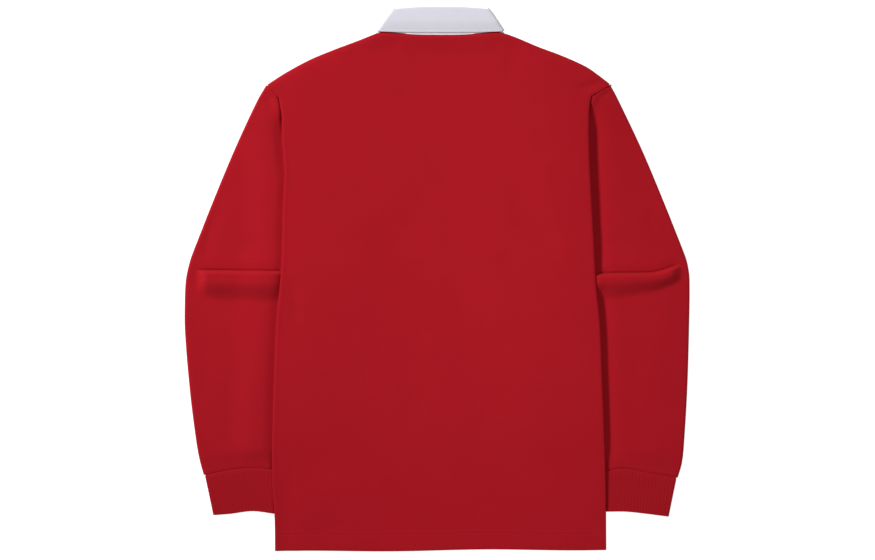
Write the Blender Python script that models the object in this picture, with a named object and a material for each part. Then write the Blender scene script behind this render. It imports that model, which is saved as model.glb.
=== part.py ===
"""A long-sleeved polo shirt, laid flat on a surface with its back up.

The camera side is +Z, the collar points to +Y, and the floor is z = 0. The wearer's right is +X.
Sizes are in millimetres and are turned into metres where a mesh is made. Each cut piece is the
middle surface of its cloth, as rows of points, and a Solidify modifier gives it its thickness.

The body is wider than it looks: each side is turned in between front and back like the side of
a paper bag, and the sleeve comes out of that fold.
"""

import math
from collections import namedtuple

import bpy

MM = 0.001

# Driving sizes of the shirt as it lies
HEM_Y = -375.5
NECK_HALF = 86.0
NECK_Y = 342.2
NECK_DIP = 2.7
FRONT_NECK_DROP = 80.0
SHOULDER_TURN = 3.0
NECK_TURN = 1.2

# Thickness of the cloth, and the gap left at each seam
CLOTH = 1.4
COLLAR_CLOTH = 1.5
PLACKET_CLOTH = 1.3
SEAM_GAP = 0.3
TURNED_GAP = 0.75
ARMHOLE_GAP = 1.2
HEM_HEIGHT = 28.0

# Heights of the cloth's middle at the sides, from the floor up
FRONT_LEVEL = CLOTH / 2
FRONT_STRIP_LEVEL = 2.7
SLEEVE_FRONT_LEVEL = 4.4
SLEEVE_BACK_LEVEL = 6.2
BACK_STRIP_LEVEL = 8.0
BACK_EDGE_LEVEL = 13.6
BACK_CENTRE_LEVEL = 6.2
BACK_NECK_LEVEL = 7.6
BACK_SHOULDER_LEVEL = 9.6
SLEEVE_SHOULDER_LEVEL = 8.6
SIDE_SEAM_LEVEL = 5.35
FOLD_END_SINK = 2.6
STRIP_END_SINK = 0.35

# The front is held off the floor by the collar's points, the placket and its buttons
FRONT_RAISE = 3.4
SLOT_ROW = 124.0
SLOT_BOTTOM = 115.0
SLOT_SHARE = 0.057
SLOT_REACH = 16.0
PLACKET_STEPS = 8

# A crease at the elbow, and the ridge below it
CREASE_DEPTH = 0.8

CUFF_HEIGHT = 5.6
CUFF_WALL = 1.5
RIB_COUNT = 38
RIB_RELIEF = 0.5

SIGN = {"left": -1.0, "right": 1.0}
Edge = namedtuple("Edge", "y x")
Corner = namedtuple("Corner", "x y")
Crease = namedtuple("Crease", "inner_y outer_y inner_height outer_height")
CuffEnd = namedtuple("CuffEnd", "x y")
Button = namedtuple("Button", "name y")

# Where the back turns under, out from the middle of the body
BODY_FOLD = {
    "left": (
        Edge(-377, 228.9), Edge(-330, 229.6), Edge(-260, 233.0), Edge(-187, 231.6),
        Edge(-105, 228.9), Edge(-50, 226.1), Edge(-7, 221.9), Edge(34, 219.1),
        Edge(104, 217.4), Edge(150, 215.4), Edge(187, 218.0), Edge(229, 219.8),
        Edge(252, 224.0),
    ),
    "right": (
        Edge(-376, 230.7), Edge(-299, 230.2), Edge(-243, 228.9), Edge(-132, 224.7),
        Edge(-63, 221.9), Edge(-7, 216.4), Edge(48, 213.6), Edge(110, 210.1),
        Edge(166, 207.4), Edge(220, 206.5), Edge(243, 207.8), Edge(255, 210.5),
    ),
}

# The sleeve's outer edge, from the cuff seam up to the shoulder
SLEEVE_EDGE = {
    "left": (
        Edge(-271, 327.9), Edge(-250, 333.8), Edge(-222, 339.0), Edge(-153, 347.6),
        Edge(-70, 354.4), Edge(-28, 354.5), Edge(0, 352.9), Edge(20, 348.7),
        Edge(34, 344.4), Edge(97, 320.1), Edge(180, 285.7), Edge(249, 253.4),
        Edge(270, 241.0),
    ),
    "right": (
        Edge(-275, 328.6), Edge(-250, 336.2), Edge(-222, 339.3), Edge(-153, 343.4),
        Edge(-70, 345.9), Edge(0, 346.6), Edge(20, 344.0), Edge(34, 339.8),
        Edge(97, 315.3), Edge(180, 280.6), Edge(249, 247.6), Edge(270, 236.5),
    ),
}

# How far the armhole seam, then the side seam, lies inside the fold
TURN_IN = (
    Edge(-376, 34.0), Edge(-100, 43.0), Edge(10, 50.0), Edge(25, 50.0), Edge(60, 38.0),
    Edge(120, 20.0), Edge(200, 8.5), Edge(255, 4.6),
)
UNDERARM_Y = 25.0

# The sleeve's inner edge below the underarm, out from the body's fold
SLEEVE_INNER = (
    Edge(-276, -0.5), Edge(-258, -0.5), Edge(-240, -0.8), Edge(-225, -3.2),
    Edge(-120, -22.0), Edge(0, -42.0), Edge(25, -44.5),
)

SHOULDER = {
    "left": (
        Edge(342.2, 86.0), Edge(331.1, 113.7), Edge(318.7, 147.0), Edge(304.8, 180.3),
        Edge(286.8, 213.6), Edge(270.4, 239.0),
    ),
    "right": (
        Edge(342.2, 86.0), Edge(336.7, 102.6), Edge(322.8, 136.0), Edge(310.4, 169.0),
        Edge(295.1, 202.5), Edge(283.8, 219.0), Edge(271.4, 235.0),
    ),
}
SHOULDER_OUT = (0.431, 0.902)
ARMHOLE_BREAK = {"left": Corner(224.0, 252.0), "right": Corner(210.5, 255.0)}

CREASE = {
    "left": Crease(12.0, 17.8, 6.6, 6.8),
    "right": Crease(8.0, 16.0, 5.4, 6.4),
}

CUFF_SEAM = {
    "left": (
        CuffEnd(232.9, -263.2), CuffEnd(260.1, -261.6), CuffEnd(287.2, -263.2),
        CuffEnd(321.9, -270.0), CuffEnd(328.0, -271.5),
    ),
    "right": (
        CuffEnd(233.4, -264.7), CuffEnd(257.8, -262.1), CuffEnd(284.3, -267.3),
        CuffEnd(311.0, -271.6), CuffEnd(329.0, -275.0),
    ),
}
CUFF_HEM = {
    "left": (
        CuffEnd(229.6, -325.0), CuffEnd(260.1, -321.3), CuffEnd(291.0, -325.0),
        CuffEnd(315.1, -326.9),
    ),
    "right": (
        CuffEnd(230.0, -322.0), CuffEnd(257.8, -322.0), CuffEnd(284.3, -324.7),
        CuffEnd(317.8, -329.0),
    ),
}

# The collar: its fold, its seam on the neck and its leaf's edge, at the back and at one side
COLLAR_FOLD_Y = 378.2
COLLAR_FOLD_SIDE = Corner(64.0, 375.0)
COLLAR_SEAM_SIDE = Corner(84.5, 342.5)
COLLAR_LEAF_Y = 343.2
COLLAR_LEAF_SIDE = Corner(87.0, 342.6)
COLLAR_SIDE_OUT = (0.87, 0.49)
COLLAR_SIDE_REACH = 1.2
COLLAR_LEAF_GAP = 3.1
COLLAR_FRONT_LEVEL = FRONT_LEVEL + FRONT_RAISE
COLLAR_STAND_FRONT = 30.0
COLLAR_STAND_SIDE = 36.0
COLLAR_LEAF_START = Corner(93.0, 337.0)
COLLAR_TIP = Corner(50.0, 230.0)
COLLAR_END_X = 1.5

BUTTON_RADIUS = 5.6
BUTTON_SIDES = 20
BUTTONS = (Button("button_1", 246.0), Button("button_2", 198.0), Button("button_3", 150.0))

# Where each grid has its rows and columns
BODY_ROWS = (
    HEM_Y, HEM_Y + HEM_HEIGHT - 1.5, HEM_Y + HEM_HEIGHT, -280, -200, -120, -50, -5, 18, 34,
    66, 112, SLOT_ROW, 160, 200, 232, 251,
)
NECK_SHARES = (0.0, SLOT_SHARE, 0.13, 0.2, 0.27, 0.32)
OUTER_COLUMNS = 5
SLEEVE_ROWS = (
    235, 200, 160, 120, 80, 50, 36, 25, 19, 14, 9.5, 5, -2, -12, -24, -40, -80, -130, -180,
    -222, -245, -257, -270,
)
OPEN_SHARES = (0.0, 0.1, 0.24, 0.45, 0.7, 1.0)

RED = (0.407, 0.0097, 0.0176)
CUFF_RED = (0.31, 0.0072, 0.0130)
COLLAR_WHITE = (0.66, 0.66, 0.71)
BUTTON_WHITE = (0.72, 0.71, 0.68)


def clear_scene():
    for thing in list(bpy.data.objects):
        bpy.data.objects.remove(thing, do_unlink=True)


def mix(start, end, share):
    return start + (end - start) * share


def smooth(start, end, value):
    """0 at start and 1 at end, level at both."""
    share = min(1.0, max(0.0, (value - start) / (end - start)))
    return share * share * (3.0 - 2.0 * share)


def curve(rows, at):
    """A smooth curve through rows of (position, value), read at one position."""
    rows = sorted(rows)
    if at <= rows[0][0]:
        return rows[0][1]
    if at >= rows[-1][0]:
        return rows[-1][1]
    right = next(k for k in range(1, len(rows)) if rows[k][0] >= at)
    left = right - 1
    width = rows[right][0] - rows[left][0]

    def slope(k):
        before = rows[max(0, k - 1)]
        after = rows[min(len(rows) - 1, k + 1)]
        return (after[1] - before[1]) / (after[0] - before[0])

    t = (at - rows[left][0]) / width
    start_weight = 2 * t ** 3 - 3 * t ** 2 + 1
    end_weight = 1 - start_weight
    start_slope = (t ** 3 - 2 * t ** 2 + t) * width * slope(left)
    end_slope = (t ** 3 - t ** 2) * width * slope(right)
    return start_weight * rows[left][1] + end_weight * rows[right][1] + start_slope + end_slope


def body_fold(side, y):
    return curve(BODY_FOLD[side], y)


def side_seam(side, y):
    """Distance from the middle to the armhole or side seam, inside the fold."""
    return body_fold(side, y) - curve(TURN_IN, y)


def shoulder_y(side, x):
    return curve([(row.x, row.y) for row in SHOULDER[side]], x)


def shoulder_corner(side):
    """Where the armhole seam meets the shoulder's turned edge."""
    end = SHOULDER[side][-1]
    return Corner(end.x - SHOULDER_OUT[0] * SHOULDER_TURN, end.y - SHOULDER_OUT[1] * SHOULDER_TURN)


def shoulder_reach(x):
    """How far in from the outline the shoulder's edge starts to turn over."""
    return mix(NECK_TURN, SHOULDER_TURN, smooth(NECK_HALF, NECK_HALF + 30.0, x))


def neck_share(side):
    """The share of the panel's half width where its neck edge ends."""
    return (NECK_HALF - SHOULDER_OUT[0] * NECK_TURN) / shoulder_corner(side).x


def armhole_seam(side, y):
    """The stretch of armhole seam that shows, from the fold's end to the shoulder."""
    low = ARMHOLE_BREAK[side]
    high = shoulder_corner(side)
    return mix(low.x, high.x, (y - low.y) / (high.y - low.y))


def fold_taper(side, y):
    """1 along the fold, 0 at its upper end where the layers close up."""
    return 1.0 - smooth(195.0, ARMHOLE_BREAK[side].y, y)


def strip_level(face, side, y):
    level = BACK_STRIP_LEVEL if face == "back" else FRONT_STRIP_LEVEL
    return level - STRIP_END_SINK * (1.0 - fold_taper(side, y))


def fold_level(face, side, y):
    """Height of the panel's middle at its fold or, above it, at the armhole seam."""
    if face == "front":
        return FRONT_LEVEL
    low = ARMHOLE_BREAK[side].y
    end_level = BACK_EDGE_LEVEL - FOLD_END_SINK
    if y <= low:
        return mix(end_level, BACK_EDGE_LEVEL, fold_taper(side, y))
    rise = (y - low) / (shoulder_corner(side).y - low)
    return mix(end_level, BACK_SHOULDER_LEVEL, smooth(0.0, 1.0, rise))


def front_raise(x, y):
    """How far the collar, placket and buttons hold the front panel off the floor."""
    half_width = mix(26.0, 100.0, smooth(165.0, 225.0, y))
    across = 1.0 - smooth(half_width, half_width + 60.0, abs(x))
    return FRONT_RAISE * across * smooth(50.0, 108.0, y)


def hem_y(x):
    return HEM_Y + 0.006 * x + 0.9 * math.sin(x / 41.0)


def half_width(side, y):
    """Distance from the middle to where the flat panel ends."""
    if y > ARMHOLE_BREAK[side].y:
        return armhole_seam(side, y)
    return body_fold(side, y) - CLOTH / 2 - fold_radius("back", side, y)


def fold_radius(face, side, y):
    return abs(fold_level(face, side, y) - strip_level(face, side, y)) / 2


def neck_y(face, x):
    share = abs(x) / NECK_HALF
    if face == "back":
        return NECK_Y - NECK_DIP * (1.0 - share ** 2)
    return NECK_Y - FRONT_NECK_DROP * (1.0 - share ** 2.4)


def top_y(face, side, share):
    """The panel's upper edge before its shoulder turns over."""
    x = share * shoulder_corner(side).x
    if share < neck_share(side) - 1e-6:
        return neck_y(face, x)
    reach = shoulder_reach(x + SHOULDER_OUT[0] * NECK_TURN)
    return shoulder_y(side, x + SHOULDER_OUT[0] * reach) - SHOULDER_OUT[1] * reach


def panel_point(face, side, share, row_y):
    """A point of the flat part of a body panel, share of the way out from its middle."""
    corner = shoulder_corner(side)
    up = (row_y - HEM_Y) / (corner.y - HEM_Y)
    x = share * half_width(side, row_y)
    low = hem_y(SIGN[side] * share * half_width(side, HEM_Y))
    high = top_y(face, side, share)
    y = mix(low, high, up)
    if face == "front":
        level = FRONT_LEVEL + front_raise(x, y)
    else:
        inwards = (1.0 - share) * half_width(side, row_y)
        centre = mix(BACK_CENTRE_LEVEL, BACK_NECK_LEVEL, smooth(170.0, 330.0, y))
        level = mix(fold_level(face, side, row_y), centre, smooth(45.0, 165.0, inwards))
    return (SIGN[side] * x, y, level)


def turned_side(face, side, row_y, steps=4, strip_steps=2, seam_steps=2):
    """The points past the flat panel: its fold, the strip inside, and the bend to the seam."""
    y = panel_point(face, side, 1.0, row_y)[1]
    radius = fold_radius(face, side, row_y)
    level = fold_level(face, side, row_y)
    strip = strip_level(face, side, row_y)
    middle_x = body_fold(side, row_y) - CLOTH / 2 - fold_radius("back", side, row_y)
    middle_z = (level + strip) / 2
    up = 1.0 if face == "back" else -1.0
    points = []
    for k in range(1, steps + 1):
        angle = math.pi * k / steps
        points.append((middle_x + radius * math.sin(angle), middle_z + up * radius * math.cos(angle)))
    seam_x = side_seam(side, row_y)
    bend = 2.2
    for k in range(1, strip_steps + 1):
        points.append((mix(middle_x, seam_x + bend, k / strip_steps), strip))
    closed = 1.0 - smooth(UNDERARM_Y - 22.0, UNDERARM_Y - 2.0, row_y)
    drop = (abs(strip - SIDE_SEAM_LEVEL) - TURNED_GAP / 2) * closed
    for k in range(1, seam_steps + 1):
        angle = math.pi / 2 * k / seam_steps
        points.append((seam_x + bend * (1 - math.sin(angle)), strip - up * drop * (1 - math.cos(angle))))
    return [(SIGN[side] * x, y, z) for x, z in points]


def shoulder_turn(face, side, share, steps=3):
    """The points where the shoulder's edge turns over to meet the other panel."""
    row_y = shoulder_corner(side).y
    x, y, z = panel_point(face, side, share, row_y)
    other = panel_point("front" if face == "back" else "back", side, share, row_y)
    meeting = (z + other[2]) / 2
    drop = meeting - z + (TURNED_GAP / 2 if face == "back" else -TURNED_GAP / 2)
    reach = shoulder_reach(abs(x) + SHOULDER_OUT[0] * NECK_TURN)
    points = []
    for k in range(1, steps + 1):
        angle = math.pi / 2 * k / steps
        out = reach * math.sin(angle)
        points.append((
            x + SIGN[side] * SHOULDER_OUT[0] * out,
            y + SHOULDER_OUT[1] * out,
            z + drop * (1 - math.cos(angle)),
        ))
    return points


def body_rows(side):
    """Row heights at one side: the shared rows, then those of the armhole seam."""
    low = ARMHOLE_BREAK[side].y
    high = shoulder_corner(side).y
    return list(BODY_ROWS) + [low - 0.3, low + 0.3, low + 5.0, mix(low, high, 0.65), high]


def body_shares(side):
    """Where the columns of a body panel stand, from its middle to its side."""
    neck = neck_share(side)
    outer = [mix(neck, 1.0, k / OUTER_COLUMNS) for k in range(OUTER_COLUMNS + 1)]
    return list(NECK_SHARES) + outer


def body_grid(face):
    """Rows of points across a body panel; None where a row has no such column."""
    rows_of = {side: body_rows(side) for side in SIGN}
    count = len(rows_of["left"])
    grid = []
    for row in range(count):
        halves = {}
        for side in SIGN:
            row_y = rows_of[side][row]
            flat = [panel_point(face, side, share, row_y) for share in body_shares(side)]
            turned = turned_side(face, side, row_y)
            if row_y > ARMHOLE_BREAK[side].y:
                turned = [None] * len(turned)
            halves[side] = flat + turned
        grid.append(halves["left"][:0:-1] + halves["right"])
    turned_count = len(turned_side(face, "left", 0.0))
    steps = 3
    for step in range(steps):
        halves = {}
        for side in SIGN:
            row = []
            for column, share in enumerate(body_shares(side)):
                on_shoulder = column >= len(NECK_SHARES)
                row.append(shoulder_turn(face, side, share, steps)[step] if on_shoulder else None)
            halves[side] = row + [None] * turned_count
        grid.append(halves["left"][:0:-1] + halves["right"])
    return grid


def crease_y(side, x, inner_x, outer_x):
    crease = CREASE[side]
    return mix(crease.inner_y, crease.outer_y, (x - inner_x) / (outer_x - inner_x))


def elbow_relief(side, x, y, inner_x, outer_x):
    """Height of the crease at the elbow and the ridge below it."""
    crease = CREASE[side]
    below = crease_y(side, x, inner_x, outer_x) - y
    height = mix(crease.inner_height, crease.outer_height, (x - inner_x) / (outer_x - inner_x))
    trough = CREASE_DEPTH * smooth(-12.0, -2.0, below) * (1.0 - smooth(-2.0, 3.0, below))
    return height * (smooth(-1.0, 9.0, below) - smooth(13.0, 46.0, below)) - trough


def sleeve_inner(side, y):
    """Distance from the middle of the body to the sleeve's inner edge."""
    if y > ARMHOLE_BREAK[side].y:
        return armhole_seam(side, y) + ARMHOLE_GAP
    if y > UNDERARM_Y:
        return side_seam(side, y)
    return body_fold(side, y) + curve(SLEEVE_INNER, y)


def sleeve_frame(side, row_y):
    """The places across one row of the sleeve."""
    inner = sleeve_inner(side, row_y)
    outer = curve(SLEEVE_EDGE[side], row_y) - CLOTH / 2
    shown = max(inner + 1.0, body_fold(side, row_y) + 1.0)
    if row_y > ARMHOLE_BREAK[side].y:
        shown = inner + 0.6
    roll = min(3.0, (outer - shown) * 0.45)
    return inner, shown, outer, roll


def row_shift(side, x, row_y, inner, outer):
    """How far a row bends to follow the elbow's crease and, at its end, the cuff's seam."""
    level = (CREASE[side].inner_y + CREASE[side].outer_y) / 2
    at_elbow = smooth(-60.0, -10.0, row_y) * (1.0 - smooth(30.0, 70.0, row_y))
    elbow = (crease_y(side, x, inner, outer) - level) * at_elbow
    seam = curve([(end.x, end.y) for end in CUFF_SEAM[side]], x) + SEAM_GAP
    at_cuff = 1.0 - smooth(SLEEVE_ROWS[-1], -205.0, row_y)
    return elbow + (seam - SLEEVE_ROWS[-1]) * at_cuff


def sleeve_front_level(side, x, row_y):
    """Height of the sleeve's lower wall: over the turned-in body, then down to the floor."""
    out = x - body_fold(side, row_y)
    low = ARMHOLE_BREAK[side].y
    over_body = SLEEVE_FRONT_LEVEL - STRIP_END_SINK * (1.0 - fold_taper(side, row_y))
    above = smooth(low + 0.4, low + 5.0, row_y)
    clear = 1.0 - smooth(-262.0, -240.0, row_y)
    level = mix(mix(over_body, FRONT_LEVEL, above), FRONT_LEVEL, clear)
    return mix(level, FRONT_LEVEL, smooth(2.0, 22.0, out) if row_y < low else above)


def sleeve_back_level(side, x, row_y, y, frame):
    """Height of the sleeve's upper wall, under the body's fold and in the open."""
    inner, shown, outer, roll = frame
    low = ARMHOLE_BREAK[side].y
    out = x - body_fold(side, row_y)
    open_level = 5.7 + 0.7 * smooth(0.0, 40.0, x - shown) * (1.0 - smooth(-40.0, 0.0, x - outer))
    open_level += elbow_relief(side, x, y, shown, outer) * smooth(0.5, 7.0, out)
    open_level += (SLEEVE_SHOULDER_LEVEL - 5.7) * smooth(190.0, low, row_y)
    hidden = SLEEVE_BACK_LEVEL - STRIP_END_SINK * (1.0 - fold_taper(side, row_y))
    if row_y < low:
        at_cuff = 1.0 - smooth(SLEEVE_ROWS[-1], -235.0, row_y)
        inner_level = mix(hidden, 2.6, at_cuff)
        open_level = mix(open_level, CUFF_HEIGHT - CUFF_WALL / 2, at_cuff)
        return mix(inner_level, open_level, smooth(mix(1.0, 2.0, at_cuff), mix(16.0, 8.0, at_cuff), out))
    seam_level = mix(hidden, fold_level("back", side, row_y), smooth(low + 0.4, low + 5.0, row_y))
    return mix(seam_level, SLEEVE_SHOULDER_LEVEL, smooth(0.0, 12.0, x - inner))


def sleeve_row(side, row_y, open_shares=OPEN_SHARES, roll_steps=4, hidden_steps=1):
    """Points round one row of the sleeve, from its front edge round to its back edge."""
    frame = sleeve_frame(side, row_y)
    inner, shown, outer, roll = frame
    flat_end = outer - roll
    across = [mix(inner, shown, k / hidden_steps) for k in range(hidden_steps)]
    across += [mix(shown, flat_end, share) for share in open_shares]
    points = []

    def add(x, z):
        points.append((SIGN[side] * x, row_y + row_shift(side, x, row_y, inner, outer), z))

    for x in across:
        add(x, sleeve_front_level(side, x, row_y))
    y = row_y + row_shift(side, flat_end, row_y, inner, outer)
    low = sleeve_front_level(side, flat_end, row_y)
    high = sleeve_back_level(side, flat_end, row_y, y, frame)
    for k in range(1, roll_steps):
        angle = -math.pi / 2 + math.pi * k / roll_steps
        add(flat_end + roll * math.cos(angle), mix(low, high, 0.5 + 0.5 * math.sin(angle)))
    for x in reversed(across):
        y = row_y + row_shift(side, x, row_y, inner, outer)
        add(x, sleeve_back_level(side, x, row_y, y, frame))
    return points


def collar_column_back(share):
    """Fold, seam and leaf edge of one collar column across the back, share out from the middle."""
    sign = 1.0 if share >= 0 else -1.0
    k = abs(share)
    fold = (sign * COLLAR_FOLD_SIDE.x * k, mix(COLLAR_FOLD_Y, COLLAR_FOLD_SIDE.y, k ** 2.4))
    seam_x = COLLAR_SEAM_SIDE.x * k
    seam = (sign * seam_x, neck_y("back", seam_x) + SEAM_GAP)
    leaf = (sign * COLLAR_LEAF_SIDE.x * k, mix(COLLAR_LEAF_Y, COLLAR_LEAF_SIDE.y, k ** 3))
    return fold, seam, leaf


def collar_column_front(side, share):
    """Fold, seam and leaf edge of one collar column below, share of the way to the middle."""
    sign = SIGN[side]
    x = max(COLLAR_END_X, mix(COLLAR_SEAM_SIDE.x - 0.6, 0.0, share))
    step = 0.5
    slope = (neck_y("front", x + step) - neck_y("front", x - step)) / (2 * step)
    length = math.hypot(slope, 1.0)
    normal = (-slope / length, 1.0 / length)
    gap = mix(7.0, 1.5, smooth(0.0, 0.5, share)) * SEAM_GAP
    seam = (x + normal[0] * gap, neck_y("front", x) + normal[1] * gap)
    turn = smooth(0.0, 0.35, share)
    side_way = (COLLAR_FOLD_SIDE.x - COLLAR_SEAM_SIDE.x, COLLAR_FOLD_SIDE.y - COLLAR_SEAM_SIDE.y)
    side_length = math.hypot(*side_way)
    way = [mix(side_way[k] / side_length, normal[k], turn) for k in range(2)]
    way_length = math.hypot(*way)
    stand = mix(COLLAR_STAND_SIDE, COLLAR_STAND_FRONT, share)
    fold = [seam[k] + stand * way[k] / way_length for k in range(2)]
    fold[0] = max(fold[0], COLLAR_END_X)
    leaf = (mix(COLLAR_LEAF_START.x, COLLAR_TIP.x, share), mix(COLLAR_LEAF_START.y, COLLAR_TIP.y, share))
    return tuple((sign * point[0], point[1]) for point in (fold, seam, leaf))


def collar_column(fold, seam, leaf, level, out, tilt, stand_steps=2, turn_steps=4, leaf_steps=3):
    """One column of the collar: up the stand, over the fold and down the leaf.

    tilt is pi/2 at the back, where the leaf lies above the stand, and -pi/2 at the front.
    """
    normal = (math.cos(tilt) * out[0], math.cos(tilt) * out[1], math.sin(tilt))
    half_gap = COLLAR_LEAF_GAP / 2

    def way_to(target):
        step = (target[0] - fold[0], target[1] - fold[1])
        length = math.hypot(*step)
        return (step[0] / length, step[1] / length), length

    def place(way, along, lift):
        return (
            fold[0] + way[0] * along + normal[0] * lift,
            fold[1] + way[1] * along + normal[1] * lift,
            level + normal[2] * lift,
        )

    stand_way, stand_length = way_to(seam)
    leaf_way, leaf_length = way_to(leaf)
    points = [
        place(stand_way, mix(stand_length, half_gap, k / stand_steps), 0.0)
        for k in range(stand_steps)
    ]
    for k in range(turn_steps + 1):
        angle = math.pi * k / turn_steps
        way = stand_way if angle < math.pi / 2 else leaf_way
        points.append(place(way, half_gap * (1 - math.sin(angle)), half_gap * (1 - math.cos(angle))))
    points += [
        place(leaf_way, mix(half_gap, leaf_length, k / leaf_steps), COLLAR_LEAF_GAP)
        for k in range(1, leaf_steps + 1)
    ]
    return points


def collar_grid(back_steps=10, turn_steps=5):
    """Columns of the collar from its left end at the front, round the back, to its right end."""
    halves = {}
    for side, sign in SIGN.items():
        columns = []
        collar_shares = [neck_share(side)] + list(reversed(NECK_SHARES))
        for k in range(1, back_steps // 2 + 1):
            fold, seam, leaf = collar_column_back(sign * 2 * k / back_steps)
            columns.append(collar_column(fold, seam, leaf, BACK_NECK_LEVEL, (sign, 0.0), math.pi / 2))
        radius = (BACK_NECK_LEVEL - COLLAR_FRONT_LEVEL) / 2
        middle = (BACK_NECK_LEVEL + COLLAR_FRONT_LEVEL) / 2
        out = (sign * COLLAR_SIDE_OUT[0], COLLAR_SIDE_OUT[1])
        fold, seam, leaf = collar_column_back(sign)
        for k in range(1, turn_steps):
            tilt = math.pi / 2 - math.pi * k / turn_steps
            reach = COLLAR_SIDE_REACH * math.cos(tilt)
            moved = [(p[0] + out[0] * reach, p[1] + out[1] * reach) for p in (fold, seam, leaf)]
            level = middle + radius * math.sin(tilt)
            columns.append(collar_column(*moved, level, out, tilt))
        for share in (1.0 - share / neck_share(side) for share in collar_shares):
            fold, seam, leaf = collar_column_front(side, share)
            columns.append(
                collar_column(fold, seam, leaf, COLLAR_FRONT_LEVEL, (sign, 0.0), -math.pi / 2)
            )
        halves[side] = columns
    fold, seam, leaf = collar_column_back(0.0)
    middle_column = collar_column(fold, seam, leaf, BACK_NECK_LEVEL, (1.0, 0.0), math.pi / 2)
    return halves["left"][::-1] + [middle_column] + halves["right"]


def sleeve_end(side):
    """The sleeve's lower edge as the cuff's seam meets it: (x, y) out from the middle."""
    row = sleeve_row(side, SLEEVE_ROWS[-1])
    return sorted((abs(x), y) for x, y, z in row[:len(row) // 2])


def straight(rows, at):
    """Straight runs through rows of (position, value), read at one position."""
    if at <= rows[0][0]:
        return rows[0][1]
    for left, right in zip(rows, rows[1:]):
        if at <= right[0]:
            return mix(left[1], right[1], (at - left[0]) / (right[0] - left[0]))
    return rows[-1][1]


def cuff_ring(side, share, inside):
    """One ring of the cuff, share of the way from its seam to its free edge."""
    seam = sleeve_end(side)
    hem = CUFF_HEM[side]
    inner = mix(sleeve_inner(side, SLEEVE_ROWS[-1]), hem[0].x, share)
    outer = mix(curve(SLEEVE_EDGE[side], SLEEVE_ROWS[-1]), hem[-1].x, share)
    radius = CUFF_HEIGHT / 2
    wall = CUFF_WALL if inside else 0.0
    flat = outer - inner - CUFF_HEIGHT
    around = 2 * flat + 2 * math.pi * radius
    points = []
    for k in range(2 * RIB_COUNT):
        position = around * k / (2 * RIB_COUNT)
        groove = RIB_RELIEF if (k % 2 and not inside) else 0.0
        depth = radius - wall - groove
        if position < flat:
            x, z = inner + radius + position, radius + depth
        elif position < flat + math.pi * radius:
            angle = (position - flat) / radius
            x, z = outer - radius + depth * math.sin(angle), radius + depth * math.cos(angle)
        elif position < 2 * flat + math.pi * radius:
            x = outer - radius - (position - flat - math.pi * radius)
            z = radius - depth
        else:
            angle = (position - 2 * flat - math.pi * radius) / radius
            x, z = inner + radius - depth * math.sin(angle), radius - depth * math.cos(angle)
        high = straight(seam, x) - 1.5 * SEAM_GAP
        low = curve([(end.x, end.y) for end in hem], x)
        points.append((SIGN[side] * x, mix(high, low, share), z))
    return points


def in_metres(point):
    return tuple(value * MM for value in point)


def material(name, colour, roughness):
    made = bpy.data.materials.new(name)
    made.use_nodes = True
    shader = made.node_tree.nodes["Principled BSDF"]
    shader.inputs["Base Color"].default_value = (*colour, 1.0)
    shader.inputs["Roughness"].default_value = roughness
    return made


def add_object(name, vertices, faces, finish):
    mesh = bpy.data.meshes.new(name)
    mesh.from_pydata([in_metres(point) for point in vertices], [], faces)
    mesh.validate()
    mesh.update()
    mesh.shade_smooth()
    mesh.materials.append(finish)
    made = bpy.data.objects.new(name, mesh)
    bpy.context.scene.collection.objects.link(made)
    return made


def cloth_from_grid(name, grid, thickness, finish, leave_out=None):
    """A cut piece: its middle surface from rows of points, given its thickness by Solidify."""
    index = {}
    vertices = []
    for i, row in enumerate(grid):
        for j, point in enumerate(row):
            if point is not None:
                index[i, j] = len(vertices)
                vertices.append(point)
    faces = []
    for i in range(len(grid) - 1):
        for j in range(len(grid[0]) - 1):
            corners = [(i, j), (i, j + 1), (i + 1, j + 1), (i + 1, j)]
            if not all(corner in index for corner in corners):
                continue
            if leave_out and leave_out([grid[a][b] for a, b in corners]):
                continue
            faces.append([index[corner] for corner in corners])
    used = {k for face in faces for k in face}
    order = {old: new for new, old in enumerate(sorted(used))}
    vertices = [vertices[old] for old in sorted(used)]
    faces = [[order[k] for k in face] for face in faces]
    piece = add_object(name, vertices, faces, finish)
    wall = piece.modifiers.new("thickness", "SOLIDIFY")
    wall.thickness = thickness * MM
    wall.offset = 0.0
    return piece


def make_body(red):
    def slot(corners):
        return all(y > SLOT_BOTTOM and abs(x) < SLOT_REACH for x, y, z in corners)

    cloth_from_grid("back", body_grid("back"), CLOTH, red)
    cloth_from_grid("front", body_grid("front"), CLOTH, red, leave_out=slot)


def sleeve_rows(side):
    """Row heights of a sleeve: those of its armhole seam, then the shared rows."""
    low = ARMHOLE_BREAK[side].y
    high = shoulder_corner(side).y
    return [high - 1.2, mix(low, high, 0.65), low + 5.0, low + 1.0, low - 2.5] + list(SLEEVE_ROWS)


def make_sleeve(side, red):
    grid = [sleeve_row(side, row_y) for row_y in sleeve_rows(side)]
    cloth_from_grid(f"sleeve_{side}", grid, CLOTH, red)


def make_cuff(side, red):
    """A ribbed tube: ribs in its outer points, over a plain inside."""
    shares = (0.0, 0.5, 1.0)
    rings = [cuff_ring(side, share, False) for share in shares]
    rings += [cuff_ring(side, share, True) for share in reversed(shares)]
    count = 2 * RIB_COUNT
    vertices = [point for ring in rings for point in ring]
    faces = []
    for ring in range(len(rings)):
        after = (ring + 1) % len(rings)
        for k in range(count):
            step = (k + 1) % count
            corners = [ring * count + k, ring * count + step, after * count + step, after * count + k]
            faces.append(corners if side == "left" else corners[::-1])
    add_object(f"cuff_{side}", vertices, faces, red)


def make_collar(white):
    cloth_from_grid("collar", collar_grid(), COLLAR_CLOTH, white)


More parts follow.
